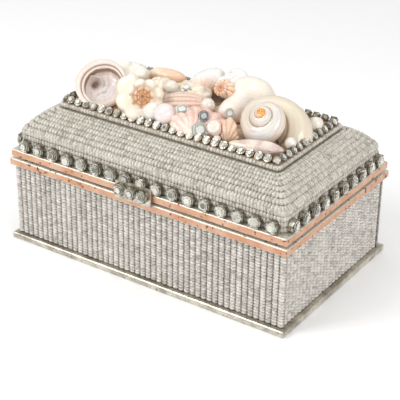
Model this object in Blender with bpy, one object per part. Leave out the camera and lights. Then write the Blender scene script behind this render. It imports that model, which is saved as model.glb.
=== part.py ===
"""Bead-covered trinket box whose hinged lid carries a cluster of shells, pearls and gems."""
import math

import bmesh
import bpy
import numpy as np

# Base: driving dimensions in metres, Z up, origin in the middle of the underside
RIM_LENGTH = 0.200
RIM_WIDTH = 0.122
PLATE_OVERHANG = 0.0008
PLATE_THICKNESS = 0.0037
BASE_RIM_UNDERSIDE = 0.0516
BASE_RIM_HEIGHT = 0.0045
BEAD_SETBACK = 0.0018
STRAND_PITCH = 0.0040
STRAND_DEPTH = 0.0022
BACKING_DEPTH = 0.0010
WALL_THICKNESS = 0.0025
FLOOR_THICKNESS = 0.0020
EDGE_BEVEL = 0.0004
GAP = 0.0003

# Lid
SEAM_GAP = 0.0013
LID_RIM_SETBACK = 0.0009
LID_RIM_HEIGHT = 0.0046
LEDGE_WIDTH = 0.0034
SKIRT_HEIGHT = 0.0130
SLOPE_RISE = 0.0122
SLOPE_RUN_ENDS = 0.0165
SLOPE_RUN_SIDES = 0.0192
SKIRT_CORNER_RADIUS = 0.0055
ROW_DEPTH = 0.0014
SKIN_DEPTH = 0.0010
SKIRT_ROWS = 4
SLOPE_ROWS = 7
LID_WALL = 0.0020
TIER_HEIGHT = 0.0030
TIER_ROW_DEPTH = 0.0017

# Stones
CHAIN_INSET = 0.0026
CHAIN_PITCH = 0.0059
CHAIN_STONE_WIDTH = 0.0046
CHAIN_HEIGHT = 0.0026
LEDGE_STONE_DIAMETER = 0.0084
LEDGE_STONE_DEPTH = 0.0027
LEDGE_PITCH = 0.0111
WIRE_THICKNESS = 0.0012
CLASP_STONE_DIAMETER = 0.0080
CLASP_STONE_COUNT = 3
CLASP_OFFSET = -0.0036
CLASP_DROP = 0.0109
PLATE_METAL = 0.0008

# Hinge
HINGE_LENGTH = 0.040
HINGE_KNUCKLES = 3
KNUCKLE_RADIUS = 0.0021
PIN_RADIUS = 0.0008
PIN_CLEARANCE = 0.0003

# Levels and outlines that follow from the values above
PLATE_TOP = PLATE_THICKNESS
BASE_RIM_TOP = BASE_RIM_UNDERSIDE + BASE_RIM_HEIGHT
LID_RIM_UNDERSIDE = BASE_RIM_TOP + SEAM_GAP
LEDGE_TOP = LID_RIM_UNDERSIDE + LID_RIM_HEIGHT
SKIRT_FOOT = LEDGE_TOP + GAP
SHOULDER = SKIRT_FOOT + SKIRT_HEIGHT
TIER_FOOT = SHOULDER + SLOPE_RISE
TIER_TOP = TIER_FOOT + TIER_HEIGHT
RIM_HALF = (RIM_LENGTH / 2, RIM_WIDTH / 2)
LID_RIM_HALF = tuple(half - LID_RIM_SETBACK for half in RIM_HALF)
SKIRT_HALF = tuple(half - LEDGE_WIDTH for half in LID_RIM_HALF)
SLOPE_RUNS = (SLOPE_RUN_ENDS, SLOPE_RUN_SIDES)
TIER_HALF = tuple(half - run for half, run in zip(SKIRT_HALF, SLOPE_RUNS))
CHAIN_HALF = tuple(half - CHAIN_INSET for half in TIER_HALF)
STRAND_FACE = tuple(half - BEAD_SETBACK for half in RIM_HALF)
WALL_HALF = tuple(half - STRAND_DEPTH - BACKING_DEPTH - GAP for half in STRAND_FACE)

# Half length and half width of the shell cluster in its own units; it is fitted to the tier by one scale,
# at which a unit comes out at a millimetre on the present box
CLUSTER_UNITS = (73.7, 32.0)

# How the names of the pieces that stay still begin
BASE_NAMES = ("bottom_plate", "box_body", "beading_", "base_rim", "hinge_leaf_base", "hinge_pin")

# Colour, roughness and metallic value of each finish
FINISHES = {
    "nickel": ((0.60, 0.57, 0.50), 0.35, 1.0),
    "copper": ((0.64, 0.34, 0.21), 0.40, 1.0),
    "clear_bead": ((0.70, 0.66, 0.60), 0.25, 0.0),
    "ivory_bead": ((0.62, 0.59, 0.51), 0.30, 0.0),
    "board": ((0.55, 0.52, 0.46), 0.70, 0.0),
    "crystal": ((0.62, 0.62, 0.58), 0.10, 0.0),
    "cream_shell": ((0.88, 0.80, 0.68), 0.35, 0.0),
    "pink_shell": ((0.86, 0.58, 0.48), 0.35, 0.0),
    "white_shell": ((0.90, 0.87, 0.80), 0.35, 0.0),
    "nacre": ((0.88, 0.86, 0.82), 0.20, 0.0),
    "pearl": ((0.90, 0.87, 0.84), 0.18, 0.0),
    "dark_gem": ((0.10, 0.11, 0.11), 0.10, 0.0),
}


def clear_scene():
    """Remove every object that the file opened with."""
    for old in list(bpy.data.objects):
        bpy.data.objects.remove(old, do_unlink=True)


def dress(piece, finish):
    """Give a piece its own material from the table of finishes."""
    colour, roughness, metallic = FINISHES[finish]
    material = bpy.data.materials.new(f"{piece.name}_{finish}")
    material.use_nodes = True
    shader = material.node_tree.nodes["Principled BSDF"]
    shader.inputs["Base Color"].default_value = (*colour, 1.0)
    shader.inputs["Roughness"].default_value = roughness
    shader.inputs["Metallic"].default_value = metallic
    piece.data.materials.append(material)


def mesh_piece(name, points, faces, finish):
    """Make one closed piece from points and faces, with its faces turned outwards."""
    mesh = bpy.data.meshes.new(name)
    mesh.from_pydata([tuple(map(float, point)) for point in points], [], faces)
    work = bmesh.new()
    work.from_mesh(mesh)
    bmesh.ops.recalc_face_normals(work, faces=work.faces)
    work.to_mesh(mesh)
    work.free()
    piece = bpy.data.objects.new(name, mesh)
    bpy.context.collection.objects.link(piece)
    if finish:
        dress(piece, finish)
    return piece


def loft(name, loops, finish, cyclic=False):
    """Skin a row of closed loops; a cyclic row closes on itself, another is capped at both ends."""
    around = len(loops[0])
    points = [point for loop in loops for point in loop]
    faces = []
    steps = len(loops) if cyclic else len(loops) - 1
    for step in range(steps):
        here, there = step * around, (step + 1) % len(loops) * around
        for i in range(around):
            j = (i + 1) % around
            faces.append((here + i, here + j, there + j, there + i))
    if not cyclic:
        faces.append(tuple(range(around)))
        faces.append(tuple((len(loops) - 1) * around + i for i in range(around)))
    return mesh_piece(name, points, faces, finish)


def box(name, low, high, finish=None):
    """Make a plain block between two corners."""
    loops = []
    for z in (low[2], high[2]):
        loops.append([(low[0], low[1], z), (high[0], low[1], z), (high[0], high[1], z), (low[0], high[1], z)])
    return loft(name, loops, finish)


def rounded_rectangle(half, radius, z, steps=2):
    """List the points of a rectangle whose corners are arcs of a few steps."""
    radius = max(radius, 0.0001)
    points = []
    for quarter, (sx, sy) in enumerate(((1, 1), (-1, 1), (-1, -1), (1, -1))):
        centre = (sx * (half[0] - radius), sy * (half[1] - radius))
        for step in range(steps + 1):
            angle = math.pi / 2 * (quarter + step / steps)
            points.append((centre[0] + radius * math.cos(angle), centre[1] + radius * math.sin(angle), z))
    return points


def inset_half(half, inset):
    """Shrink a half length and half width by the same inset."""
    return (half[0] - inset, half[1] - inset)


def combine(piece, other, operation):
    """Join a second piece to the first, or cut it away, and remove it."""
    modifier = piece.modifiers.new(operation, "BOOLEAN")
    modifier.operation = operation
    modifier.solver = "EXACT"
    modifier.object = other
    graph = bpy.context.evaluated_depsgraph_get()
    result = bpy.data.meshes.new_from_object(piece.evaluated_get(graph))
    piece.modifiers.remove(modifier)
    piece.data = result
    bpy.data.objects.remove(other, do_unlink=True)


def base_box():
    """Make the bottom plate, the hollow body and the frame round its mouth."""
    plate_half = inset_half(RIM_HALF, -PLATE_OVERHANG)
    loft("bottom_plate", [
        rounded_rectangle(inset_half(plate_half, EDGE_BEVEL), EDGE_BEVEL, 0.0, 1),
        rounded_rectangle(plate_half, EDGE_BEVEL, EDGE_BEVEL, 1),
        rounded_rectangle(plate_half, EDGE_BEVEL, PLATE_TOP - EDGE_BEVEL, 1),
        rounded_rectangle(inset_half(plate_half, EDGE_BEVEL), EDGE_BEVEL, PLATE_TOP, 1),
    ], "nickel")
    foot = PLATE_TOP + GAP
    top = BASE_RIM_UNDERSIDE - GAP
    inner = inset_half(WALL_HALF, WALL_THICKNESS)
    loft("box_body", [
        rounded_rectangle(inner, EDGE_BEVEL, foot + FLOOR_THICKNESS, 1),
        rounded_rectangle(inner, EDGE_BEVEL, top, 1),
        rounded_rectangle(WALL_HALF, EDGE_BEVEL, top, 1),
        rounded_rectangle(WALL_HALF, EDGE_BEVEL, foot, 1),
    ], "board")
    loft("base_rim", frame_loops(RIM_HALF, inner, BASE_RIM_UNDERSIDE, BASE_RIM_TOP), "copper", cyclic=True)


def frame_loops(outer, inner, low, high):
    """List the loops of a flat frame with softened outer edges."""
    return [
        rounded_rectangle(inner, EDGE_BEVEL, low, 1),
        rounded_rectangle(inset_half(outer, EDGE_BEVEL), EDGE_BEVEL, low, 1),
        rounded_rectangle(outer, EDGE_BEVEL, low + EDGE_BEVEL, 1),
        rounded_rectangle(outer, EDGE_BEVEL, high - EDGE_BEVEL, 1),
        rounded_rectangle(inset_half(outer, EDGE_BEVEL), EDGE_BEVEL, high, 1),
        rounded_rectangle(inner, EDGE_BEVEL, high, 1),
    ]


def strand_panel(name, length, face, turn):
    """Make one panel of upright strands: a ribbed strip along X, turned to its side of the box."""
    count = max(3, round(length / STRAND_PITCH))
    pitch = length / count
    outline = []
    for strand in range(count):
        start = -length / 2 + strand * pitch
        outline.append((start, face - STRAND_DEPTH))
        outline.append((start + pitch / 2, face))
    outline.append((length / 2, face - STRAND_DEPTH))
    back = face - STRAND_DEPTH - BACKING_DEPTH
    outline.append((length / 2, back))
    outline.append((-length / 2, back))
    cosine, sine = math.cos(turn), math.sin(turn)
    loops = []
    for z in (PLATE_TOP + GAP, BASE_RIM_UNDERSIDE - GAP):
        loops.append([(x * cosine - y * sine, x * sine + y * cosine, z) for x, y in outline])
    loft(name, loops, "clear_bead")


def beading_panels():
    """Cover the four walls with strands; the side panels stand between the front and back ones."""
    panel_depth = STRAND_DEPTH + BACKING_DEPTH
    long_side = 2 * STRAND_FACE[0]
    short_side = 2 * (STRAND_FACE[1] - panel_depth - GAP)
    strand_panel("beading_front", long_side, STRAND_FACE[1], math.pi)
    strand_panel("beading_back", long_side, STRAND_FACE[1], 0.0)
    strand_panel("beading_left", short_side, STRAND_FACE[0], math.pi / 2)
    strand_panel("beading_right", short_side, STRAND_FACE[0], -math.pi / 2)


def slope_point(share):
    """Give the share of the run and of the rise on the lid's rounded slope."""
    run = share
    rise = math.sin(math.pi / 2 * share) * 0.85 + share * 0.15
    return run, rise


def lid_loop(run_share, z, offset):
    """Make one loop of the lid's outside at a share of the slope's run, moved out by an offset."""
    half = tuple(skirt - run * run_share + offset for skirt, run in zip(SKIRT_HALF, SLOPE_RUNS))
    radius = SKIRT_CORNER_RADIUS * (1 - 0.35 * run_share) + offset
    return rounded_rectangle(half, radius, z)


def lid_profile(depth):
    """List run share and level down the lid at a depth under the bead crests, foot to tier."""
    profile = [(0.0, SKIRT_FOOT), (0.0, SHOULDER)]
    steps = 4
    for step in range(1, steps + 1):
        run, rise = slope_point(step / steps)
        profile.append((run, SHOULDER + rise * SLOPE_RISE))
    mean_run = sum(SLOPE_RUNS) / 2
    drop = depth * mean_run / math.hypot(mean_run, SLOPE_RISE)
    return [(run, z if i == 0 else z - drop * min(1.0, 0.35 * i)) for i, (run, z) in enumerate(profile)]


def lid_shell():
    """Make the hollow lid under the beads and the flat step on its top."""
    outer_depth = ROW_DEPTH + SKIN_DEPTH + GAP
    outer = [lid_loop(run, z, -outer_depth) for run, z in lid_profile(outer_depth)]
    inner = [lid_loop(run, z, -outer_depth - LID_WALL) for run, z in lid_profile(outer_depth + LID_WALL)]
    loft("lid_shell", list(reversed(inner)) + outer, "board")
    top = outer[-1][0][2]
    tier_half = inset_half(TIER_HALF, TIER_ROW_DEPTH + GAP)
    loft("top_tier", [
        rounded_rectangle(tier_half, SKIRT_CORNER_RADIUS * 0.5, top + GAP),
        rounded_rectangle(tier_half, SKIRT_CORNER_RADIUS * 0.5, TIER_TOP),
    ], "board")
    return top


def lid_rim():
    """Make the lid's metal frame, whose top is the ledge for the large stones."""
    inner = inset_half(SKIRT_HALF, ROW_DEPTH + SKIN_DEPTH + GAP + LID_WALL)
    loft("lid_rim", frame_loops(LID_RIM_HALF, inner, LID_RIM_UNDERSIDE, LEDGE_TOP), "copper", cyclic=True)


def lid_beading():
    """Make the skin of bead rows round skirt and slopes, and the one row round the tier."""
    crests = []
    row = SKIRT_HEIGHT / SKIRT_ROWS
    for index in range(SKIRT_ROWS):
        for share, depth in ((0.0, 0.0), (0.5, 1.0)):
            crests.append((0.0, SKIRT_FOOT + (index + share) * row, ROW_DEPTH * (depth - 1)))
    for index in range(SLOPE_ROWS):
        for share, depth in ((0.0, 0.0), (0.5, 1.0)):
            run, rise = slope_point((index + share) / SLOPE_ROWS)
            level = SHOULDER + rise * SLOPE_RISE + ROW_DEPTH * 0.6 * (depth - 1)
            crests.append((run, level, ROW_DEPTH * 0.6 * (depth - 1)))
    tier_foot = TIER_FOOT - ROW_DEPTH
    crests.append((1.0, tier_foot, -ROW_DEPTH * 0.6))
    outer = [lid_loop(run, z, offset) for run, z, offset in crests]
    depth = ROW_DEPTH + SKIN_DEPTH
    inner = [lid_loop(run, z + GAP * 0.8, -depth) for run, z in lid_profile(depth)]
    inner[0] = lid_loop(0.0, SKIRT_FOOT, -depth)
    inner[-1] = lid_loop(1.0, inner[-1][0][2], -TIER_ROW_DEPTH)
    loft("lid_beading", outer + list(reversed(inner)), "ivory_bead", cyclic=True)
    ring = []
    foot = TIER_FOOT + GAP
    for share, out in ((0.0, 0.35), (0.3, 1.0), (0.7, 1.0), (1.0, 0.35)):
        half = inset_half(TIER_HALF, TIER_ROW_DEPTH * (1 - out))
        ring.append(rounded_rectangle(half, SKIRT_CORNER_RADIUS * 0.6, foot + share * (TIER_TOP - foot)))
    tier_inner = inset_half(TIER_HALF, TIER_ROW_DEPTH)
    for z in (TIER_TOP, foot):
        ring.append(rounded_rectangle(tier_inner, SKIRT_CORNER_RADIUS * 0.5, z))
    loft("tier_beading", ring, "ivory_bead", cyclic=True)


def path_station(distance):
    """Give point and outward normal at a distance along the chain's rounded rectangle."""
    radius = SKIRT_CORNER_RADIUS * 0.45
    straights = (2 * (CHAIN_HALF[0] - radius), 2 * (CHAIN_HALF[1] - radius))
    corner = radius * math.pi / 2
    legs = (straights[0], corner, straights[1], corner) * 2
    for side, leg in enumerate(legs):
        if distance <= leg or side == len(legs) - 1:
            break
        distance -= leg
    quarter = side // 2
    turn = quarter * math.pi / 2
    half = CHAIN_HALF if quarter % 2 == 0 else (CHAIN_HALF[1], CHAIN_HALF[0])
    if side % 2 == 0:
        x, y, angle = distance - half[0] + radius, -half[1], 0.0
    else:
        angle = distance / radius
        x = half[0] - radius + radius * math.sin(angle)
        y = -half[1] + radius - radius * math.cos(angle)
    normal = (math.sin(angle), -math.cos(angle))
    cosine, sine = math.cos(turn), math.sin(turn)
    point = (x * cosine - y * sine, x * sine + y * cosine)
    return point, (normal[0] * cosine - normal[1] * sine, normal[0] * sine + normal[1] * cosine)


def chain_length():
    """Measure the whole path of the small stones."""
    radius = SKIRT_CORNER_RADIUS * 0.45
    return 4 * (CHAIN_HALF[0] + CHAIN_HALF[1] - 2 * radius) + 2 * math.pi * radius


def crystal_chain():
    """Make the ring of small stones in cups, wide at each stone and narrow between two."""
    length = chain_length()
    count = round(length / CHAIN_PITCH)
    pitch = length / count
    foot = TIER_TOP + GAP
    loops = []
    for stone in range(count):
        for share, width, height in ((0.0, 0.45, 0.5), (0.22, 1.0, 1.0), (0.78, 1.0, 1.0)):
            point, normal = path_station((stone + share) * pitch)
            loops.append([
                (point[0] + side * normal[0] * reach, point[1] + side * normal[1] * reach, foot + lift)
                for side, reach, lift in (
                    (-1, CHAIN_STONE_WIDTH / 2 * width, 0.0),
                    (1, CHAIN_STONE_WIDTH / 2 * width, 0.0),
                    (0, 0.0, CHAIN_HEIGHT * height),
                )
            ])
    loft("crystal_chain", loops, "crystal", cyclic=True)


def stone_row(name, offsets, diameter, depth, level, face, turn, finish="crystal"):
    """Make a row of six-sided stones that face outwards, joined by a thin wire between them."""
    wire = WIRE_THICKNESS / 2
    tall = 0.45 * diameter
    sections = []
    for x in offsets:
        outline = ((-0.5, wire, 0.6), (-0.25, tall, 1.0), (0.25, tall, 1.0), (0.5, wire, 0.6))
        for share, height, reach in outline:
            sections.append((x + share * diameter, height, reach))
    cosine, sine = math.cos(turn), math.sin(turn)
    loops = []
    for x, height, reach in sections:
        loop = []
        for y, z in ((face, -height), (face, height), (face + reach * depth, height * 0.8),
                     (face + reach * depth, -height * 0.8)):
            loop.append((x * cosine - y * sine, x * sine + y * cosine, level + z))
        loops.append(loop)
    loft(name, loops, finish)


def ledge_stones():
    """Stand the large stones on the lid rim's ledge, against the skirt."""
    level = LEDGE_TOP + GAP + LEDGE_STONE_DIAMETER / 2
    for names, half, face in (
        ((("ledge_crystals_front", math.pi), ("ledge_crystals_back", 0.0)), SKIRT_HALF[0], SKIRT_HALF[1]),
        ((("ledge_crystals_left", math.pi / 2), ("ledge_crystals_right", -math.pi / 2)), SKIRT_HALF[1],
         SKIRT_HALF[0]),
    ):
        count = int((2 * half - LEDGE_STONE_DIAMETER) / LEDGE_PITCH) + 1
        offsets = [(i - (count - 1) / 2) * LEDGE_PITCH for i in range(count)]
        for name, turn in names:
            stone_row(name, offsets, LEDGE_STONE_DIAMETER, LEDGE_STONE_DEPTH, level, face + GAP, turn)


def clasp():
    """Make the tab that hangs from the lid rim over the seam, with its three stones."""
    front = RIM_HALF[1] + GAP
    half = CLASP_STONE_COUNT * CLASP_STONE_DIAMETER / 2 + PLATE_METAL
    low = BASE_RIM_UNDERSIDE + (BASE_RIM_HEIGHT + SEAM_GAP) * 0.55
    high = low + CLASP_DROP
    left, right = CLASP_OFFSET - half, CLASP_OFFSET + half
    plate = box("clasp_plate", (left, -front - PLATE_METAL, low), (right, -front, high), "nickel")
    lip_back = -SKIRT_HALF[1] - GAP - LEDGE_STONE_DEPTH - GAP
    lip = box("clasp_lip", (left, -front - PLATE_METAL * 0.5, high - PLATE_METAL), (right, lip_back, high))
    combine(plate, lip, "UNION")
    foot_low = LID_RIM_UNDERSIDE + EDGE_BEVEL
    foot_high = LEDGE_TOP - EDGE_BEVEL
    foot = box("clasp_foot", (left + half * 0.3, -front - PLATE_METAL * 0.5, foot_low),
               (right - half * 0.3, -LID_RIM_HALF[1] - GAP, foot_high))
    combine(plate, foot, "UNION")
    pitch = CLASP_STONE_DIAMETER + GAP
    offsets = [-CLASP_OFFSET + (i - (CLASP_STONE_COUNT - 1) / 2) * pitch for i in range(CLASP_STONE_COUNT)]
    level = high - CLASP_STONE_DIAMETER * 0.53
    stone_row("clasp_crystals", offsets, CLASP_STONE_DIAMETER, LEDGE_STONE_DEPTH, level,
              front + PLATE_METAL + GAP, math.pi)


def tube_along_x(name, start, end, centre, radius, finish=None, sides=8):
    """Make a solid rod along X."""
    loops = []
    for x in (start, end):
        loops.append([
            (x, centre[0] + radius * math.cos(2 * math.pi * i / sides),
             centre[1] + radius * math.sin(2 * math.pi * i / sides))
            for i in range(sides)
        ])
    return loft(name, loops, finish)


def hinge():
    """Make the two leaves with their knuckles and the pin, behind the seam; the axis lies on the pin."""
    centre = (RIM_HALF[1] + GAP + PLATE_METAL + KNUCKLE_RADIUS, (BASE_RIM_TOP + LID_RIM_UNDERSIDE) / 2)
    knuckle = HINGE_LENGTH / HINGE_KNUCKLES
    leaves = (
        ("hinge_leaf_base", RIM_HALF[1], BASE_RIM_UNDERSIDE, BASE_RIM_TOP, 0, -1),
        ("hinge_leaf_lid", LID_RIM_HALF[1], LID_RIM_UNDERSIDE, LEDGE_TOP, 1, 1),
    )
    for name, back, low, high, first, side in leaves:
        leaf = box(name, (-HINGE_LENGTH / 2, back + GAP, low + EDGE_BEVEL),
                   (HINGE_LENGTH / 2, back + GAP + PLATE_METAL, high - EDGE_BEVEL), "nickel")
        for index in range(first, HINGE_KNUCKLES, 2):
            start = -HINGE_LENGTH / 2 + index * knuckle + GAP
            end = start + knuckle - 2 * GAP
            barrel = tube_along_x("knuckle", start, end, centre, KNUCKLE_RADIUS)
            inner_z = centre[1] + side * (SEAM_GAP / 2 + EDGE_BEVEL)
            outer_z = centre[1] + side * KNUCKLE_RADIUS * 0.97
            levels = sorted((inner_z, outer_z))
            arm = box("arm", (start, back + GAP, levels[0]), (end, centre[0], levels[1]))
            combine(barrel, arm, "UNION")
            combine(leaf, barrel, "UNION")
        bore = tube_along_x("bore", -HINGE_LENGTH, HINGE_LENGTH, centre, PIN_RADIUS + PIN_CLEARANCE)
        combine(leaf, bore, "DIFFERENCE")
    tube_along_x("hinge_pin", -HINGE_LENGTH / 2, HINGE_LENGTH / 2, centre, PIN_RADIUS, "nickel")
    return centre


class Lump:
    """An ellipsoid with its own axes, the stuff that shells and pearls are built from."""

    def __init__(self, centre, radii, axis=(0, 0, 1), side=(1, 0, 0)):
        """Place the lump; the third radius runs along axis and the first towards side."""
        self.centre = np.array(centre, float)
        self.radii = np.array(radii if np.ndim(radii) else (radii,) * 3, float)
        self.frame = frame_from(axis, side)

    def spans(self, origin, rays, grow=0.0):
        """Give where each ray from the origin enters and leaves the lump, nan where it misses."""
        radii = self.radii + grow
        start = self.frame @ (origin - self.centre) / radii
        steps = (rays @ self.frame.T) / radii
        a = (steps ** 2).sum(axis=1)
        b = steps @ start
        c = start @ start - 1.0
        inside = b ** 2 - a * c
        root = np.sqrt(np.where(inside > 0, inside, np.nan))
        return (-b - root) / a, (-b + root) / a


def frame_from(axis, side):
    """Make three unit rows: side, the third direction, axis."""
    axis = np.array(axis, float) / np.linalg.norm(axis)
    side = np.array(side, float)
    side = side - axis * (side @ axis)
    side /= np.linalg.norm(side)
    return np.array([side, np.cross(axis, side), axis])


def direction(polar, turn):
    """Turn an angle from the pole and an angle round it into a unit vector."""
    return (math.sin(polar) * math.cos(turn), math.sin(polar) * math.sin(turn), math.cos(polar))


class Cluster:
    """The tier's shells: each new piece keeps clear of the tier, the chain and the earlier pieces."""

    def __init__(self):
        """Note the room inside the chain and the cluster's unit, the largest that fits the room."""
        self.seat = TIER_TOP + GAP
        self.fence_top = TIER_TOP + CHAIN_HEIGHT + 3 * GAP
        self.room = inset_half(CHAIN_HALF, CHAIN_STONE_WIDTH / 2 + 2 * GAP)
        self.unit = min(room / units for room, units in zip(self.room, CLUSTER_UNITS))
        self.placed = []

    def at(self, along, across, lift):
        """Turn shares of the cluster's half length and width and a lift in units into a point."""
        sideways = np.array((along, across)) * CLUSTER_UNITS * self.unit
        return np.array((*sideways, TIER_TOP + lift * self.unit))

    def lump(self, centre, radii, axis=(0, 0, 1), side=(1, 0, 0)):
        """Make a lump whose radii are given in units."""
        return Lump(centre, np.array(radii, float) * self.unit, axis, side)

    def limit(self, origin, rays):
        """Give how far each ray runs before it meets the tier, the chain or a neighbour."""
        reach = np.full(len(rays), np.inf)
        down = rays[:, 2] < -1e-9
        reach[down] = (self.seat - origin[2]) / rays[down, 2]
        for axis in (0, 1):
            for sign in (-1, 1):
                out = sign * rays[:, axis] > 1e-9
                wall = np.full(len(rays), np.inf)
                wall[out] = (sign * self.room[axis] - origin[axis]) / rays[out, axis]
                height = origin[2] + np.where(out, wall, 0) * rays[:, 2]
                over = out & (height > self.fence_top)
                wall[over] = np.inf
                falling = over & down
                wall[falling] = (self.fence_top - origin[2]) / rays[falling, 2]
                reach = np.minimum(reach, wall)
        for lumps in self.placed:
            for lump in lumps:
                enter, leave = lump.spans(origin, rays, 2 * GAP)
                hit = np.nan_to_num(leave, nan=-1.0) > 0
                reach = np.where(hit, np.minimum(reach, np.maximum(enter, 0)), reach)
        return reach

    def add(self, name, lumps, finish, origin=None, pole=(0, 0, 1), side=(1, 0, 0), around=12, along=8,
            relief=None):
        """Skin the outside of a group of lumps as seen from one inner point, and note it as placed."""
        origin = np.array(lumps[0].centre if origin is None else origin, float)
        rows = []
        for step in range(1, along):
            for i in range(around):
                rows.append(direction(math.pi * step / along, 2 * math.pi * i / around))
        local = np.array([(0, 0, 1.0)] + rows + [(0, 0, -1.0)])
        rays = local @ frame_from(pole, side)
        reach = np.zeros(len(rays))
        for lump in lumps:
            _, leave = lump.spans(origin, rays)
            reach = np.fmax(reach, leave)
        if relief:
            polar = np.arccos(np.clip(local[:, 2], -1, 1))
            azimuth = np.arctan2(local[:, 1], local[:, 0])
            reach *= np.array([relief(*angles) for angles in zip(azimuth, polar)])
        reach = np.minimum(reach, self.limit(origin, rays))
        if reach.min() < 2 * GAP:
            raise ValueError(f"{name} has no room at its middle")
        points = origin + rays * reach[:, None]
        faces = [(0, 1 + i, 1 + (i + 1) % around) for i in range(around)]
        for ring in range(along - 2):
            here, there = 1 + ring * around, 1 + (ring + 1) * around
            for i in range(around):
                j = (i + 1) % around
                faces.append((here + i, there + i, there + j))
                faces.append((here + i, there + j, here + j))
        last, end = 1 + (along - 2) * around, len(points) - 1
        faces.extend((end, last + (i + 1) % around, last + i) for i in range(around))
        piece = mesh_piece(name, points, faces, finish)
        self.placed.append(lumps)
        return piece

    def coil(self, name, lumps, finish, origin, axis, side, around=16, rows=11, groove=0.10, knobs=0,
             knob_height=0.10):
        """Skin a group of lumps with a coil: crest and seam run as two spirals from the apex outwards."""
        def vertex(row, i):
            """Number the point of a row, where a row that passes the start goes on two rows further out."""
            return 1 + row * around + i

        local = [(0.0, 0.0, 1.0)]
        shares = [1.0]
        for row in range(rows):
            for i in range(around):
                place = row + 1 + 2 * i / around
                polar = math.pi * (place / (rows + 3)) ** 1.4
                turn = 2 * math.pi * i / around
                local.append(direction(polar, turn))
                fade = max(0.0, 1 - place / (rows + 1))
                if row % 2:
                    shares.append(1 - groove * min(1.0, 2 * fade))
                else:
                    height = knob_height if knobs else 0.0
                    shares.append(1 + height * math.cos(knobs * turn) * min(1.0, 2 * fade))
        local.append((0.0, 0.0, -1.0))
        shares.append(1.0)
        rays = np.array(local) @ frame_from(axis, side)
        reach = np.zeros(len(rays))
        for lump in lumps:
            _, leave = lump.spans(origin, rays)
            reach = np.fmax(reach, leave)
        reach = np.minimum(reach * np.array(shares), self.limit(origin, rays))
        if reach.min() < 2 * GAP:
            raise ValueError(f"{name} has no room at its middle")
        faces = []
        for row in range(rows - 1):
            for i in range(around - 1):
                here, there = vertex(row, i), vertex(row + 1, i)
                faces.append((here, there, there + 1))
                faces.append((here, there + 1, here + 1))
        for row in range(rows - 3):
            here, there = vertex(row, around - 1), vertex(row + 1, around - 1)
            faces.append((here, there, vertex(row + 3, 0)))
            faces.append((here, vertex(row + 3, 0), vertex(row + 2, 0)))
        rim = [vertex(0, i) for i in range(around)] + [vertex(2, 0), vertex(1, 0)]
        faces.extend((0, rim[k], rim[(k + 1) % len(rim)]) for k in range(len(rim)))
        rim = [vertex(rows - 1, i) for i in range(around)]
        rim += [vertex(rows - 2, around - 1), vertex(rows - 3, around - 1)]
        faces.extend((len(local) - 1, rim[(k + 1) % len(rim)], rim[k]) for k in range(len(rim)))
        mesh_piece(name, origin + rays * reach[:, None], faces, finish)
        self.placed.append(lumps)

    def pearl(self, name, spot, radii, finish="pearl", axis=(0, 0, 1)):
        """Add one round or slightly long pearl."""
        self.add(name, [self.lump(self.at(*spot), radii, axis)], finish, around=8, along=5)

    def gem(self, name, spot, radii, axis, finish="crystal", sides=6):
        """Add one cut stone: a flat table over a slanting crown, a girdle and a shallow base."""
        lump = self.lump(self.at(*spot), radii, axis)
        rings = ((0.55, 0.95), (0.97, 0.15), (0.97, -0.15), (0.5, -0.85))
        loops = []
        for width, height in rings:
            loop = []
            for i in range(sides):
                angle = 2 * math.pi * (i + 0.5) / sides
                local = np.array((width * math.cos(angle), width * math.sin(angle), height)) * lump.radii
                loop.append(lump.centre + local @ lump.frame)
            loops.append(loop)
        loft(name, loops, finish)
        self.placed.append([lump])


def abalone(cluster):
    """Make the open cup shell: a tilted bowl with a thick rolled rim, left hollow."""
    centre = cluster.at(-0.805, -0.600, 10.8)
    frame = frame_from((0.28, -0.50, 0.82), (0.83, 0.56, 0.0))
    half = np.array((15.7, 17.2)) * cluster.unit
    depth = 8.8 * cluster.unit
    wall = 1.6 * cluster.unit
    around = 16
    rings = (
        (0.50, -1.00), (0.80, -0.72), (0.97, -0.30), (1.04, 0.02), (0.95, 0.16), (0.84, 0.00), (0.72, -0.40),
        (0.45, -0.66),
    )
    loops = []
    for width, height in rings:
        loop = []
        for i in range(around):
            angle = 2 * math.pi * i / around
            local = np.array((half[0] * width * math.cos(angle), half[1] * width * math.sin(angle),
                              depth * height + (wall * 0.4 if height > -0.7 else 0.0)))
            point = centre + local @ frame
            point[2] = max(point[2], cluster.seat)
            loop.append(point)
        loops.append(loop)
    loft("shell_abalone", loops, "pink_shell")
    keep_out = (half[0] * 1.08, half[1] * 1.08, depth * 0.9)
    cluster.placed.append([Lump(centre - frame[2] * depth * 0.35, keep_out, frame[2], frame[0])])


def ribs(count, depth):
    """Give a relief of ribs that run from pole to pole."""
    return lambda turn, polar: 1 + depth * math.cos(count * turn) * math.sin(polar)


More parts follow.
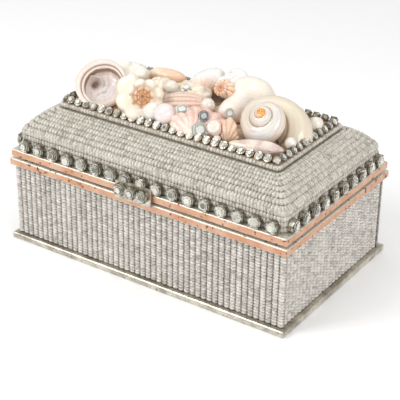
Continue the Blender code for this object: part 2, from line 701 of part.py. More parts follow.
def cluster_of_shells():
    """Lay the shells, pearls and gems on the tier, the ones that lie on top first."""
    group = Cluster()
    camera_side = (0.50, -0.74, 0.45)
    screen_right = (0.83, 0.56, 0.0)

    right = np.array(screen_right) * group.unit
    toward = np.array(camera_side) * group.unit
    up = np.array((0, 0, group.unit))

    spire = np.array((0.45, -0.68, 0.58))
    whorl = group.at(0.670, -0.300, 9.0)
    group.coil("shell_turban", [
        group.lump(whorl, (15.0, 15.0, 12.5), spire, screen_right),
        group.lump(whorl + spire * 8.0 * group.unit, (8.0, 8.0, 7.5), spire, screen_right),
        group.lump(whorl + right * 13.0 - up * 2.0, (12.5, 12.5, 18.0), (0.83, 0.56, -0.20)),
    ], "nacre", whorl + right * 3.0, spire, -right, around=20, rows=11, groove=0.13)

    abalone(group)

    heart = group.at(-0.365, -0.630, 11.6)
    group.coil("shell_ruffled", [
        group.lump(heart, (14.6, 14.2, 8.5), camera_side),
        group.lump(heart + toward * 4.5 + right * 1.8, (7.5, 7.5, 6.2), camera_side),
    ], "white_shell", heart, camera_side, screen_right, around=18, rows=9, groove=0.12, knobs=9)

    group.pearl("pearl_front_left", (-0.205, -0.810, 5.9), 5.5)
    group.pearl("pearl_front_right", (-0.060, -0.805, 6.4), 6.0)
    group.pearl("pearl_ringed", (0.410, -0.880, 7.8), (4.5, 4.5, 3.8), axis=camera_side)
    group.gem("gem_disc", (0.290, -0.940, 5.3), (5.0, 5.0, 1.6), camera_side)
    group.gem("gem_dark", (0.285, -0.805, 12.3), (3.6, 3.6, 1.8), camera_side, "dark_gem")
    group.gem("gem_navette", (0.062, -0.750, 11.6), (5.0, 2.9, 1.6), (0.35, -0.70, 0.62))
    group.pearl("pearl_small", (0.450, -0.945, 2.8), 2.3)
    group.pearl("pearl_centre", (0.125, -0.130, 8.5), 4.0)
    group.pearl("pearl_middle", (-0.290, 0.050, 10.8), 3.9)
    group.gem("gem_round", (-0.185, 0.200, 10.2), (4.2, 3.2, 1.5), (0.2, -0.5, 0.84))
    group.gem("gem_small", (0.405, -0.380, 11.5), (3.2, 3.2, 1.6), camera_side)

    tip = group.at(0.200, 0.185, 15.0)
    group.coil("shell_nodular", [
        group.lump(tip, (6.2, 6.2, 7.0), camera_side),
        group.lump(tip - toward * 8.0, (8.2, 8.2, 10.0), camera_side),
    ], "pink_shell", tip - toward * 2.0, camera_side, screen_right, around=16, rows=9, groove=0.10, knobs=8)
    group.add("shell_mussel", [
        group.lump(group.at(0.800, -0.880, 4.0), (4.2, 19.0, 3.4), (0.1, -0.5, 0.86), (0.5, -0.83, 0.0)),
    ], "nacre", around=14, along=6)
    group.pearl("pearl_baroque_front", (0.975, -0.400, 3.6), (3.8, 2.8, 2.8))
    group.pearl("pearl_baroque_right", (0.965, 0.510, 4.6), (4.0, 5.0, 4.2))
    leaf_axis = (0.90, 0.40, 0.10)
    group.add("shell_leaf", [group.lump(group.at(-0.080, -0.240, 6.8), (6.6, 5.8, 15.2), leaf_axis)],
              "cream_shell", pole=leaf_axis, side=(0, 0, 1), around=14, along=7, relief=ribs(7, 0.04))
    group.add("shell_scallop_pink", [group.lump(group.at(0.205, -0.650, 4.0), (18.5, 12.5, 7.0))],
              "pink_shell", around=16, along=7, relief=ribs(8, 0.03))
    group.add("shell_scallop_peach", [group.lump(group.at(0.510, -0.680, 5.5), (8.0, 8.0, 6.5), camera_side)],
              "pink_shell", pole=camera_side, around=14, along=7, relief=ribs(7, 0.04))
    half_axis = (0.62, 0.52, 0.55)
    group.add("shell_half", [group.lump(group.at(-0.170, 0.850, 8.5), (6.8, 6.8, 11.5), half_axis)],
              "cream_shell", pole=half_axis, around=12, along=8)
    group.add("shell_olive", [group.lump(group.at(-0.575, 0.840, 4.6), (4.2, 4.2, 14.0), (1, 0.12, 0))],
              "pink_shell", pole=(1, 0.12, 0), around=10, along=7)
    group.pearl("pearl_back", (-0.850, 0.760, 3.7), 3.3)
    moon = group.at(0.110, 0.880, 12.0)
    group.coil("shell_moon", [
        group.lump(moon, (10.5, 10.5, 9.0), (-0.10, -0.45, 0.89)),
        group.lump(moon + right * 4.0 - up * 3.0, (10.5, 10.0, 8.0)),
    ], "white_shell", moon, (-0.10, -0.45, 0.89), screen_right, around=14, rows=9)
    group.add("shell_cream", [
        group.lump(group.at(0.350, 0.600, 10.0), (15.0, 12.5, 11.0), (0, 0, 1), screen_right),
        group.lump(group.at(0.270, 0.160, 5.5), (12.5, 13.5, 8.0)),
    ], "cream_shell", origin=group.at(0.310, 0.480, 6.0), around=14, along=9)
    group.add("shell_cone_left", [group.lump(group.at(-0.430, 0.130, 5.5), (9.0, 9.5, 6.5))],
              "cream_shell", around=12, along=7, relief=ribs(5, 0.05))
    group.add("shell_cone_right", [group.lump(group.at(-0.200, 0.330, 5.2), (10.5, 9.0, 6.4))],
              "cream_shell", around=12, along=7, relief=ribs(5, 0.05))
    group.add("shell_knobbed", [
        group.lump(group.at(-0.780, 0.220, 7.5), (11.0, 11.5, 8.5)),
        group.lump(group.at(-0.790, 0.130, 12.0), 5.8),
        group.lump(group.at(-0.660, 0.270, 11.2), 5.4),
    ], "white_shell", around=14, along=8)


def hang_lid(axis_spot):
    """Parent every piece of the lid to an empty on the hinge axis, which opens the lid when it turns."""
    bpy.context.view_layer.update()
    pivot = bpy.data.objects.new("lid_pivot", None)
    bpy.context.collection.objects.link(pivot)
    pivot.location = (0.0, *axis_spot)
    bpy.context.view_layer.update()
    for piece in bpy.data.objects:
        if piece.type == "MESH" and not piece.name.startswith(BASE_NAMES):
            piece.parent = pivot
            piece.matrix_parent_inverse = pivot.matrix_world.inverted()


clear_scene()
base_box()
beading_panels()
hinge_axis = hinge()
lid_rim()
lid_shell()
lid_beading()
crystal_chain()
ledge_stones()
clasp()
cluster_of_shells()
for made in bpy.data.objects:
    made.data.shade_smooth()
    made.data.set_sharp_from_angle(angle=math.radians(35))
hang_lid(hinge_axis)
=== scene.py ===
"""Looks of a bead-covered trinket box whose hinged lid carries shells, pearls and cup-set stones."""
import logging
import math
from collections.abc import Callable, Sequence
from dataclasses import dataclass
from enum import Enum

import bpy
import numpy as np
from mathutils import Matrix, Vector, noise


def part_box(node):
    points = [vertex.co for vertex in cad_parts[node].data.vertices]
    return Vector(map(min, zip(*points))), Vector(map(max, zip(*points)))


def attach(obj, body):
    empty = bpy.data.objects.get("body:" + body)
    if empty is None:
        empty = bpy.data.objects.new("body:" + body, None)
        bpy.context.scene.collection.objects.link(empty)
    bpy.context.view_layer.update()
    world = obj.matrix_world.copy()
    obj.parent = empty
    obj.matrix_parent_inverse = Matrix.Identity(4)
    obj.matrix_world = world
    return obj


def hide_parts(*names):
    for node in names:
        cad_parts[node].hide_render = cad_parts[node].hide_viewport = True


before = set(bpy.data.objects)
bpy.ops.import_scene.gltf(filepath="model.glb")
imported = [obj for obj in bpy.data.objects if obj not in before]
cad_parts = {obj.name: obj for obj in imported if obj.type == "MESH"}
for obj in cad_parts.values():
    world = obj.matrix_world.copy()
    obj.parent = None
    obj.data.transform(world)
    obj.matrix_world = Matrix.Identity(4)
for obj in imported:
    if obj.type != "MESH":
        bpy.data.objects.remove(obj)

LOG = logging.getLogger("shell_box")
MM = 0.001
TURN = 2 * math.pi
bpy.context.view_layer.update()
SEED = 7
# The gap that pieces keep where they touch, as the solids do.
GAP = 0.3 * MM
TIER_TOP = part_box("top_tier")[1].z
# The way that the open shells and the glued stones face, and the level direction across it.
TOWARD = (0.50, -0.74, 0.45)
ACROSS = (0.83, 0.56, 0.0)


class Body(Enum):
    """The two bodies that the hinge joins."""

    BASE = "base"
    LID = "lid"


class Side(Enum):
    """A side of the box, with the turn about Z that takes the front side to it."""

    FRONT = 0.0
    RIGHT = math.pi / 2
    BACK = math.pi
    LEFT = -math.pi / 2

    @property
    def label(self) -> str:
        """Name of the side as the nodes spell it."""
        return self.name.lower()


def linear(hex_colour: str) -> tuple[float, float, float, float]:
    """Turn an sRGB hex value into linear red, green, blue and alpha.

    Args:
        hex_colour: six hex digits after a hash sign.

    Returns:
        The linear colour with an alpha of one.
    """
    parts = [int(hex_colour[i:i + 2], 16) / 255 for i in (1, 3, 5)]
    curve = [part / 12.92 if part <= 0.04045 else ((part + 0.055) / 1.055) ** 2.4 for part in parts]
    return (*curve, 1.0)


def add_node(tree: bpy.types.NodeTree, kind: str, values: dict | None = None, links: dict | None = None,
             stops: Sequence[tuple[float, str]] = (), **settings) -> bpy.types.Node:
    """Add one node with its settings, constants and links.

    Args:
        tree: node tree that gets the node.
        kind: type name of the node.
        values: constant for each input, by name or number.
        links: output socket that feeds each input, by name or number.
        stops: place and hex colour of each stop, where the node has a colour ramp.
        settings: properties of the node.

    Returns:
        The new node.
    """
    node = tree.nodes.new(kind)
    for name, value in settings.items():
        setattr(node, name, value)
    for key, value in (values or {}).items():
        node.inputs[key].default_value = value
    for key, socket in (links or {}).items():
        tree.links.new(socket, node.inputs[key])
    if stops:
        ramp = node.color_ramp.elements
        while len(ramp) < len(stops):
            ramp.new(1.0)
        for element, (place, colour) in zip(ramp, stops):
            element.position = place
            element.color = linear(colour)
    return node


@dataclass(frozen=True)
class Finish:
    """What every finish has: a name, a roughness and its gloss."""

    name: str
    roughness: float = 0.4
    metallic: float = 0.0
    coat: float = 0.0
    transmission: float = 0.0
    ior: float = 1.5

    def material(self) -> bpy.types.Material:
        """Make the material, or give the one already made.

        Returns:
            The material, with its nodes in place.
        """
        found = bpy.data.materials.get(self.name)
        if found:
            return found
        made = bpy.data.materials.new(self.name)
        made.use_nodes = True
        tree = made.node_tree
        shader = tree.nodes["Principled BSDF"]
        shader.inputs["Roughness"].default_value = self.roughness
        shader.inputs["Metallic"].default_value = self.metallic
        shader.inputs["Coat Weight"].default_value = self.coat
        shader.inputs["Coat Roughness"].default_value = 0.06
        shader.inputs["Transmission Weight"].default_value = self.transmission
        if self.ior != 1.5:
            shader.inputs["IOR"].default_value = self.ior
        self.paint(tree, shader)
        return made

    def paint(self, tree: bpy.types.NodeTree, shader: bpy.types.Node) -> None:
        """Add the nodes that are this finish's own."""

    def grain(self, tree: bpy.types.NodeTree, size_mm: float, detail: float = 2.0,
              stretch: tuple[float, float, float] = (1.0, 1.0, 1.0)) -> bpy.types.Node:
        """Add a noise whose blotches are about a real size.

        Args:
            tree: node tree of the material.
            size_mm: size of one blotch in millimetres.
            detail: octaves of the noise.
            stretch: scale along each axis.

        Returns:
            The noise node, which reads Object coordinates.
        """
        place = add_node(tree, "ShaderNodeTexCoord")
        mapping = add_node(tree, "ShaderNodeMapping", {"Scale": stretch}, {"Vector": place.outputs["Object"]})
        return add_node(tree, "ShaderNodeTexNoise", {"Scale": 1 / (size_mm * MM), "Detail": detail},
                        {"Vector": mapping.outputs["Vector"]})

    def bump(self, tree: bpy.types.NodeTree, shader: bpy.types.Node, height: bpy.types.NodeSocket,
             depth_mm: float) -> None:
        """Feed a height pattern to the shader's normal.

        Args:
            tree: node tree of the material.
            shader: shader that gets the normal.
            height: output that holds the height from zero to one.
            depth_mm: real depth of the pattern in millimetres.
        """
        bump = add_node(tree, "ShaderNodeBump", {"Strength": 1.0, "Distance": depth_mm * MM},
                        {"Height": height})
        tree.links.new(bump.outputs["Normal"], shader.inputs["Normal"])


@dataclass(frozen=True)
class WornNickel(Finish):
    """Nickel silver sheet, rolled and plated: a warm satin grey with dark pits where the plating has gone."""

    pale: str = "#DAD4C6"
    dull: str = "#A9A294"
    pit: str = "#4A4030"
    blotch_mm: float = 7.0
    pit_mm: float = 1.6

    def paint(self, tree: bpy.types.NodeTree, shader: bpy.types.Node) -> None:
        """Mix pale and dull plating, then cut small dark pits into it."""
        cloud = self.grain(tree, self.blotch_mm, 4.0)
        plating = add_node(tree, "ShaderNodeValToRGB", links={0: cloud.outputs["Fac"]},
                           stops=((0.35, self.dull), (0.6, self.pale)))
        specks = self.grain(tree, self.pit_mm, 3.0)
        mask = add_node(tree, "ShaderNodeMapRange", {1: 0.63, 2: 0.70}, {0: specks.outputs["Fac"]})
        mix = add_node(tree, "ShaderNodeMix", {7: linear(self.pit)},
                       {0: mask.outputs[0], 6: plating.outputs["Color"]}, data_type="RGBA")
        tree.links.new(mix.outputs[2], shader.inputs["Base Color"])
        self.bump(tree, shader, specks.outputs["Fac"], 0.08)


@dataclass(frozen=True)
class CopperLeaf(Finish):
    """Copper leaf on pressed metal, spotted with brown tarnish, with a painted highlight of pale silver along
    its top and bottom edges.
    """

    copper: str = "#CB9878"
    pale: str = "#DAB398"
    # Colour of the painted highlight along the top and bottom edges.
    edge_highlight: str = "#E9E2D6"
    tarnish: str = "#5A3018"
    low: float = 0.0
    high: float = 0.0
    # How far the painted edge highlight reaches in from each edge, made ragged by a noise.
    edge_highlight_reach: float = 0.0007

    def paint(self, tree: bpy.types.NodeTree, shader: bpy.types.Node) -> None:
        """Lay copper, paint a pale silver highlight on its edges by height on the frame, and add tarnish
        spots.
        """
        cloud = self.grain(tree, 9.0, 4.0)
        leaf = add_node(tree, "ShaderNodeValToRGB", links={0: cloud.outputs["Fac"]},
                        stops=((0.38, self.copper), (0.68, self.pale)))
        # Painted highlight: the copper turns pale silver near the top and bottom of the frame, by height.
        place = add_node(tree, "ShaderNodeTexCoord")
        split = add_node(tree, "ShaderNodeSeparateXYZ", links={0: place.outputs["Object"]})
        middle = (self.low + self.high) / 2
        offset = add_node(tree, "ShaderNodeMath", {1: middle}, {0: split.outputs["Z"]}, operation="SUBTRACT")
        away = add_node(tree, "ShaderNodeMath", links={0: offset.outputs[0]}, operation="ABSOLUTE")
        ragged = self.grain(tree, 3.0, 3.0)
        shift = add_node(tree, "ShaderNodeMath", {1: self.edge_highlight_reach * 1.4}, {0: ragged.outputs["Fac"]},
                         operation="MULTIPLY")
        reach = add_node(tree, "ShaderNodeMath", links={0: away.outputs[0], 1: shift.outputs[0]},
                         operation="ADD")
        half = (self.high - self.low) / 2
        edge = add_node(tree, "ShaderNodeMapRange", {1: half + self.edge_highlight_reach * 0.05, 2: half + self.edge_highlight_reach * 0.45},
                        {0: reach.outputs[0]})
        edge_lit = add_node(tree, "ShaderNodeMix", {7: linear(self.edge_highlight)},
                        {0: edge.outputs[0], 6: leaf.outputs["Color"]}, data_type="RGBA")
        spots = self.grain(tree, 2.6, 2.0)
        mask = add_node(tree, "ShaderNodeMapRange", {1: 0.63, 2: 0.69}, {0: spots.outputs["Fac"]})
        mix = add_node(tree, "ShaderNodeMix", {7: linear(self.tarnish)},
                       {0: mask.outputs[0], 6: edge_lit.outputs[2]}, data_type="RGBA")
        tree.links.new(mix.outputs[2], shader.inputs["Base Color"])
        self.bump(tree, shader, cloud.outputs["Fac"], 0.15)


@dataclass(frozen=True)
class Tinted(Finish):
    """A finish whose colour runs from dark to pale by the tint that each copy or face carries."""

    dark: str = "#000000"
    pale: str = "#FFFFFF"

    def paint(self, tree: bpy.types.NodeTree, shader: bpy.types.Node) -> None:
        """Read the tint and turn it into a colour."""
        tint = add_node(tree, "ShaderNodeAttribute", attribute_name="tint")
        ramp = add_node(tree, "ShaderNodeValToRGB", links={0: tint.outputs["Fac"]},
                        stops=((0.0, self.dark), (1.0, self.pale)))
        tree.links.new(ramp.outputs["Color"], shader.inputs["Base Color"])


@dataclass(frozen=True)
class Mottled(Finish):
    """Paper, glue or antique plating: two colours that change over a few millimetres, with a fine tooth."""

    first: str = "#888888"
    second: str = "#AAAAAA"
    blotch_mm: float = 3.0
    depth_mm: float = 0.05

    def paint(self, tree: bpy.types.NodeTree, shader: bpy.types.Node) -> None:
        """Mix the two colours by a noise and raise its tooth."""
        cloud = self.grain(tree, self.blotch_mm, 4.0)
        ramp = add_node(tree, "ShaderNodeValToRGB", links={0: cloud.outputs["Fac"]},
                        stops=((0.4, self.first), (0.62, self.second)))
        tree.links.new(ramp.outputs["Color"], shader.inputs["Base Color"])
        self.bump(tree, shader, cloud.outputs["Fac"], self.depth_mm)


@dataclass(frozen=True)
class NaturalShell(Finish):
    """Seashell, polished by the sea: colour bands that follow its growth, under a soft gloss."""

    young: str = "#F3EBDD"
    grown: str = "#F7F2E8"
    band: str = "#E8CDBC"
    bands: float = 9.0
    band_share: float = 0.35
    cloud_mm: float = 6.0
    cloud: str = "#FFFFFF"
    cloud_share: float = 0.25
    # Painted shade: a darker colour laid in the creases, valleys and seams of the relief, and how strongly.
    crease_shade: str = "#B98C66"
    crease_share: float = 0.0
    crease_ends: float = 2.0
    ages: tuple[float, float] = (0.0, 0.9)

    def paint(self, tree: bpy.types.NodeTree, shader: bpy.types.Node) -> None:
        """Run the colour from the young end to the lip, with bands, clouds, fine growth lines and painted
        shade in the creases.
        """
        growth = add_node(tree, "ShaderNodeAttribute", attribute_name="growth")
        body = add_node(tree, "ShaderNodeValToRGB", links={0: growth.outputs["Fac"]},
                        stops=((self.ages[0], self.young), (self.ages[1], self.grown)))
        wobble = self.grain(tree, 8.0, 3.0)
        count = add_node(tree, "ShaderNodeMath", {1: self.bands * TURN}, {0: growth.outputs["Fac"]},
                         operation="MULTIPLY")
        bent = add_node(tree, "ShaderNodeMath", {1: 7.0, 2: 0.0},
                        {0: wobble.outputs["Fac"], 2: count.outputs[0]}, operation="MULTIPLY_ADD")
        swing = add_node(tree, "ShaderNodeMath", links={0: bent.outputs[0]}, operation="SINE")
        mask = add_node(tree, "ShaderNodeMapRange", {1: 0.0, 2: 1.0, 4: self.band_share},
                        {0: swing.outputs[0]})
        banded = add_node(tree, "ShaderNodeMix", {7: linear(self.band)},
                          {0: mask.outputs[0], 6: body.outputs["Color"]}, data_type="RGBA")
        cloud = self.grain(tree, self.cloud_mm, 3.0)
        veil = add_node(tree, "ShaderNodeMapRange", {1: 0.45, 2: 0.75, 4: self.cloud_share},
                        {0: cloud.outputs["Fac"]})
        mix = add_node(tree, "ShaderNodeMix", {7: linear(self.cloud)},
                       {0: veil.outputs[0], 6: banded.outputs[2]}, data_type="RGBA")
        # Painted shade: mix in the crease colour where the relief's creases, valleys and seams are, fading
        # out as growth nears crease_ends.
        valley = add_node(tree, "ShaderNodeAttribute", attribute_name="crease_shade")
        fade = add_node(tree, "ShaderNodeMapRange",
                        {1: self.crease_ends - 0.25, 2: self.crease_ends, 3: self.crease_share, 4: 0.0},
                        {0: growth.outputs["Fac"]})
        depth = add_node(tree, "ShaderNodeMath", links={0: valley.outputs["Fac"], 1: fade.outputs[0]},
                         operation="MULTIPLY")
        lined = add_node(tree, "ShaderNodeMix", {7: linear(self.crease_shade)},
                         {0: depth.outputs[0], 6: mix.outputs[2]}, data_type="RGBA")
        tree.links.new(lined.outputs[2], shader.inputs["Base Color"])
        lines = add_node(tree, "ShaderNodeMath", {1: 5.0}, {0: bent.outputs[0]}, operation="MULTIPLY")
        fine = add_node(tree, "ShaderNodeMath", links={0: lines.outputs[0]}, operation="SINE")
        self.bump(tree, shader, fine.outputs[0], 0.05)


@dataclass(frozen=True)
class MotherOfPearl(Finish):
    """Nacre, ground and polished: white with faint pink, green and blue that drift over the whorls."""

    base: str = "#E6E1D6"
    pink: str = "#DFCABE"
    green: str = "#CCD3C5"
    blue: str = "#C6CAD2"
    tip: str = "#F0A02E"
    tip_ends: float = 0.5
    lip: str = "#E9D8B9"
    # Colour of the painted shade along the seam where each whorl meets the one before.
    seam_shade: str = "#9C7A52"

    def paint(self, tree: bpy.types.NodeTree, shader: bpy.types.Node) -> None:
        """Let the three tints drift along the whorls, warm the apex to orange and paint shade along the
        seams.
        """
        growth = add_node(tree, "ShaderNodeAttribute", attribute_name="growth")
        around = add_node(tree, "ShaderNodeAttribute", attribute_name="around")
        path = add_node(tree, "ShaderNodeCombineXYZ",
                        links={0: growth.outputs["Fac"], 1: around.outputs["Fac"]})
        mapping = add_node(tree, "ShaderNodeMapping", {"Scale": (9.0, 5.0, 1.0)}, {"Vector": path.outputs[0]})
        drift = add_node(tree, "ShaderNodeTexNoise", {"Scale": 1.0, "Detail": 3.0},
                         {"Vector": mapping.outputs["Vector"]})
        ramp = add_node(tree, "ShaderNodeValToRGB", links={0: drift.outputs["Fac"]},
                        stops=((0.30, self.blue), (0.42, self.base), (0.50, self.pink), (0.58, self.base),
                               (0.70, self.green)))
        tip = add_node(tree, "ShaderNodeMapRange", {1: self.tip_ends, 2: self.tip_ends - 0.16},
                       {0: growth.outputs["Fac"]})
        mix = add_node(tree, "ShaderNodeMix", {7: linear(self.tip)},
                       {0: tip.outputs[0], 6: ramp.outputs["Color"]}, data_type="RGBA")
        late = add_node(tree, "ShaderNodeMapRange", {1: 0.84, 2: 0.96, 4: 0.6}, {0: growth.outputs["Fac"]})
        body = add_node(tree, "ShaderNodeMix", {7: linear(self.lip)},
                        {0: late.outputs[0], 6: mix.outputs[2]}, data_type="RGBA")
        # Painted shade: darken towards the seam colour where each whorl meets the one before.
        groove = add_node(tree, "ShaderNodeAttribute", attribute_name="crease_shade")
        lined = add_node(tree, "ShaderNodeMix", {7: linear(self.seam_shade)},
                         {0: groove.outputs["Fac"], 6: body.outputs[2]}, data_type="RGBA")
        tree.links.new(lined.outputs[2], shader.inputs["Base Color"])


# Rolled nickel silver, plated: a warm satin grey with blurred reflections and dark pits.
NICKEL = WornNickel("worn_nickel_plate", 0.34, 0.85)
# Pressed brass cups, silvered and aged: dark in the folds, dull highlights on the prongs.
CUPS = Mottled("antique_silver_cups", 0.30, 0.9, first="#6B6557", second="#B4AE9F", blotch_mm=2.0)
# Silvered paper behind clear beads: its grey is darkened as painted shade for the gaps between the strands.
BACKING = Mottled("silvered_backing_paper", 0.5, 0.3, first="#948E87", second="#BFB9B2", blotch_mm=1.5)
# Ivory paper behind the rows, coloured a flat warm grey as painted shade for the gaps between the rows.
LID_BACKING = Mottled("ivory_backing_paper", 0.6, first="#8F897C", second="#B7B1A4", blotch_mm=1.5)
# Ivory lining paper, laid and pressed: matt, with faint clouds.
LINING = Mottled("ivory_lining_paper", 0.85, first="#CFC6B4", second="#DDD5C5", blotch_mm=4.0)
# Brown craft glue on board, poured: uneven, with glossy dents.
TIER_GLUE = Mottled("glue_on_tier", 0.40, first="#B08A68", second="#DCC7AE", blotch_mm=3.0, depth_mm=0.3)
# Clear glass beads, fire polished: light and dark from bead to bead, with painted glints and dark reflections
# as pale and dark specks at single corners.
CLEAR_BEADS = Tinted("clear_glass_beads", 0.12, coat=0.6, transmission=0.2, dark="#978D83", pale="#F5F0E8")
# Milky glass beads, fire polished: painted glints as softer pale and dark specks at single corners, over a
# warm ivory body.
IVORY_BEADS = Tinted("ivory_glass_beads", 0.18, coat=0.5, transmission=0.12, dark="#8A8374", pale="#DFD9CD")
# Crystal glass, cut and polished: painted reflections, each facet bright or olive dark by its own tint.
CRYSTAL = Tinted("cut_crystal", 0.03, coat=0.0, transmission=0.3, ior=1.56, dark="#4A4737", pale="#FFFCF0")
# The same glass, thinner: facets of a clear greenish white, with painted reflections from facet to facet.
PALE_CRYSTAL = Tinted("pale_cut_crystal", 0.03, coat=0.0, transmission=0.3, ior=1.56, dark="#AEB29C",
                      pale="#FFFFFA")
# Silvered foil, folded: a mirror whose facets are painted bright or dark by their tint, as painted
# reflections.
FOIL = Tinted("mirror_foil", 0.12, 1.0, dark="#77755F", pale="#FFFFFC")
# Silvered foil, thinly coated: whiter and softer painted reflections on its facets.
PALE_FOIL = Tinted("pale_foil", 0.18, 1.0, dark="#C9CDBE", pale="#FFFFFF")
# Smoky crystal glass, cut: dark glass, with painted reflections that make some facets nearly black and one or
# two bright.
SMOKE = Tinted("smoky_crystal", 0.04, transmission=0.3, ior=1.56, dark="#23272A", pale="#D5D8D6")
# Pearls, grown in thin layers: a crisp highlight over a clouded body, white or peach, and one white pearl
# with violet-pink clouds that are a painted reflection.
PEARL = NaturalShell("white_pearl", 0.12, coat=0.8, young="#EAE4D8", grown="#EAE4D8", band_share=0.0,
                     cloud="#EFDDD8", cloud_share=0.6, cloud_mm=4.0)
# Violet-pink clouds over white: a painted reflection.
PINK_REFLECTION_PEARL = NaturalShell("pearl_painted_pink_reflection", 0.12, coat=0.8, young="#EFE4DE", grown="#EFE4DE", band_share=0.0,
                          cloud="#E9C8DC", cloud_share=0.7, cloud_mm=5.0)
PEACH_PEARL = NaturalShell("peach_pearl", 0.22, coat=0.4, young="#F6D9C4", grown="#EDBE9F", band_share=0.0)
# Opal glass, pressed to a ring: a soft white glow with a glossy edge.
MILKY_RING = Tinted("milky_glass_ring", 0.10, coat=0.7, transmission=0.2, dark="#D9D6CC", pale="#FBF9F3")
# Turban shell, ground down to its nacre: cool and pink tints along the whorls, an orange tip.
TURBAN = MotherOfPearl("turban_nacre", 0.14, coat=0.6)
# Ruffled shell, waxed: cream lobes round a brown spire, with painted shade in the valleys between the lobes.
RUFFLED = NaturalShell("ruffled_ivory_shell", 0.26, coat=0.4, young="#D9995F", grown="#F6EDDA",
                       band="#EDD7B0", band_share=0.3, crease_shade="#A2683A", crease_share=0.9, crease_ends=0.98,
                       ages=(0.50, 0.82))
# Nodular shell, as found: matt peach beads, with brown between them as painted shade.
NODULAR = NaturalShell("nodular_peach_shell", 0.35, coat=0.2, young="#DFA073", grown="#F5D3B4",
                       band_share=0.0, crease_shade="#A5673E", crease_share=0.75, ages=(0.4, 0.9))
# Moon shell, tumbled: plain glossy white, with grey painted shade along the seams.
MOON = NaturalShell("white_moon_shell", 0.22, coat=0.4, young="#EFEDEA", grown="#F8F6F1", band_share=0.1,
                    crease_shade="#D8D3CC", crease_share=0.5)
# Ribbed shells, as found: satin, with pale growth bands and deeper colour in the furrows as painted shade.
LEAF = NaturalShell("leaf_shell", 0.32, coat=0.2, young="#F1DCCB", grown="#EBCDBB", band="#E2BDA7",
                    crease_shade="#B98A72", crease_share=0.6)
SALMON = NaturalShell("salmon_scallop", 0.34, coat=0.2, young="#F9DCCD", grown="#F4C3B0", band="#FBE6DA",
                      crease_shade="#DF9C86", crease_share=0.5, cloud="#FDF0E7", cloud_share=0.8)
PEACH = NaturalShell("peach_scallop", 0.34, coat=0.2, young="#F4D3B6", grown="#F4D4BA", band="#EBBB96",
                     crease_shade="#CF9A73", crease_share=0.5, cloud="#FAE9D8", cloud_share=0.5)
# Mussel shell, polished: long violet grey bands under a gloss.
MUSSEL = NaturalShell("mussel_nacre", 0.22, coat=0.4, young="#E3D3BC", grown="#D9C4BC", band="#A88A8C",
                      bands=3.0, cloud="#F4EEE2", cloud_share=0.6)
# Half of a bivalve, polished: pink at the hinge and white towards the lip.
HALF = NaturalShell("half_shell", 0.22, coat=0.4, young="#F0C2AA", grown="#F3F2EC", band="#F6DCCD",
                    bands=4.0, ages=(0.15, 0.55))
# Olive shell, polished by sand: peach fading to cream in wide clouds.
OLIVE = NaturalShell("olive_shell", 0.26, coat=0.3, young="#EDBC9A", grown="#F6E0C4", band="#EFCBA8",
                     bands=5.0, cloud="#FBEEDD", cloud_share=0.5)
# Worn white shells: satin cream and ivory with faint bands.
CREAM = NaturalShell("pale_cream_shell", 0.28, coat=0.3, young="#F5E7DD", grown="#F5EDDC", band="#F1D8C6",
                     bands=3.0, band_share=0.3)
IVORY = NaturalShell("ivory_shell", 0.30, coat=0.3, young="#F1EADB", grown="#F7F3E8", band="#EADFC8")
# Cone shells, as found: cream with tan bands along the ribs.
CONE = NaturalShell("cone_shell", 0.30, coat=0.3, young="#F3E3C6", grown="#F5ECDA", band="#DDB57E",
                    bands=6.0, band_share=0.5)
# Ear shell, nacre inside: pale lilac rings, with painted shade as a brown line under the brim and a dark
# pocket.
EAR = NaturalShell("ear_shell_nacre", 0.26, coat=0.4, young="#F1ECE9", grown="#F3E1D2", band="#D5C3BE",
                   bands=7.0, band_share=0.35, crease_shade="#7C4F34", crease_share=0.85, cloud="#F4ECE8",
                   cloud_share=0.4)


def deselect() -> None:
    """Leave nothing selected, since loading leaves the frame's nodes selected."""
    bpy.ops.object.select_all(action="DESELECT")


def take(piece: bpy.types.Object) -> bpy.types.Object:
    """Make a piece the only selected and active one.

    Args:
        piece: object to work on.

    Returns:
        The same object.
    """
    deselect()
    piece.select_set(True)
    bpy.context.view_layer.objects.active = piece
    return piece


def primitive(kind: Callable, **options) -> bpy.types.Object:
    """Add a primitive with nothing else selected.

    Args:
        kind: operator that adds it.
        options: the operator's own settings.

    Returns:
        The new object.
    """
    deselect()
    kind(**options)
    return bpy.context.object


def settle() -> None:
    """Write the active piece's place, turn and scale into its mesh."""
    bpy.ops.object.transform_apply(location=True, rotation=True, scale=True)


def add_to_scene(name: str, data: bpy.types.ID) -> bpy.types.Object:
    """Make an object of a mesh, light or camera and link it to the scene."""
    made = bpy.data.objects.new(name, data)
    bpy.context.scene.collection.objects.link(made)
    return made


def apply_modifier(piece: bpy.types.Object, kind: str, **settings) -> None:
    """Add one modifier with its settings to the active piece and apply it."""
    modifier = piece.modifiers.new(kind.lower(), kind)
    for name, value in settings.items():
        setattr(modifier, name, value)
    bpy.ops.object.modifier_apply(modifier=modifier.name)


def coordinates(piece: bpy.types.Object) -> np.ndarray:
    """List the vertices of a mesh as rows of x, y and z."""
    return np.array([vertex.co for vertex in piece.data.vertices], float)


def reshape(piece: bpy.types.Object, points: np.ndarray) -> None:
    """Write new places to the vertices of a mesh."""
    piece.data.vertices.foreach_set("co", points.astype(np.float32).ravel())
    piece.data.update()


def note(piece: bpy.types.Object, name: str, values: Sequence[float] | np.ndarray,
         domain: str = "POINT") -> None:
    """Store a number for each vertex or face, which materials read by its name."""
    layer = piece.data.attributes.new(name, "FLOAT", domain)
    layer.data.foreach_set("value", np.asarray(values, np.float32))


def within(node: str, *shares: float) -> Vector:
    """Give the point at three shares of a node's box."""
    low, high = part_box(node)
    return Vector(start + (end - start) * share for start, end, share in zip(low, high, shares))


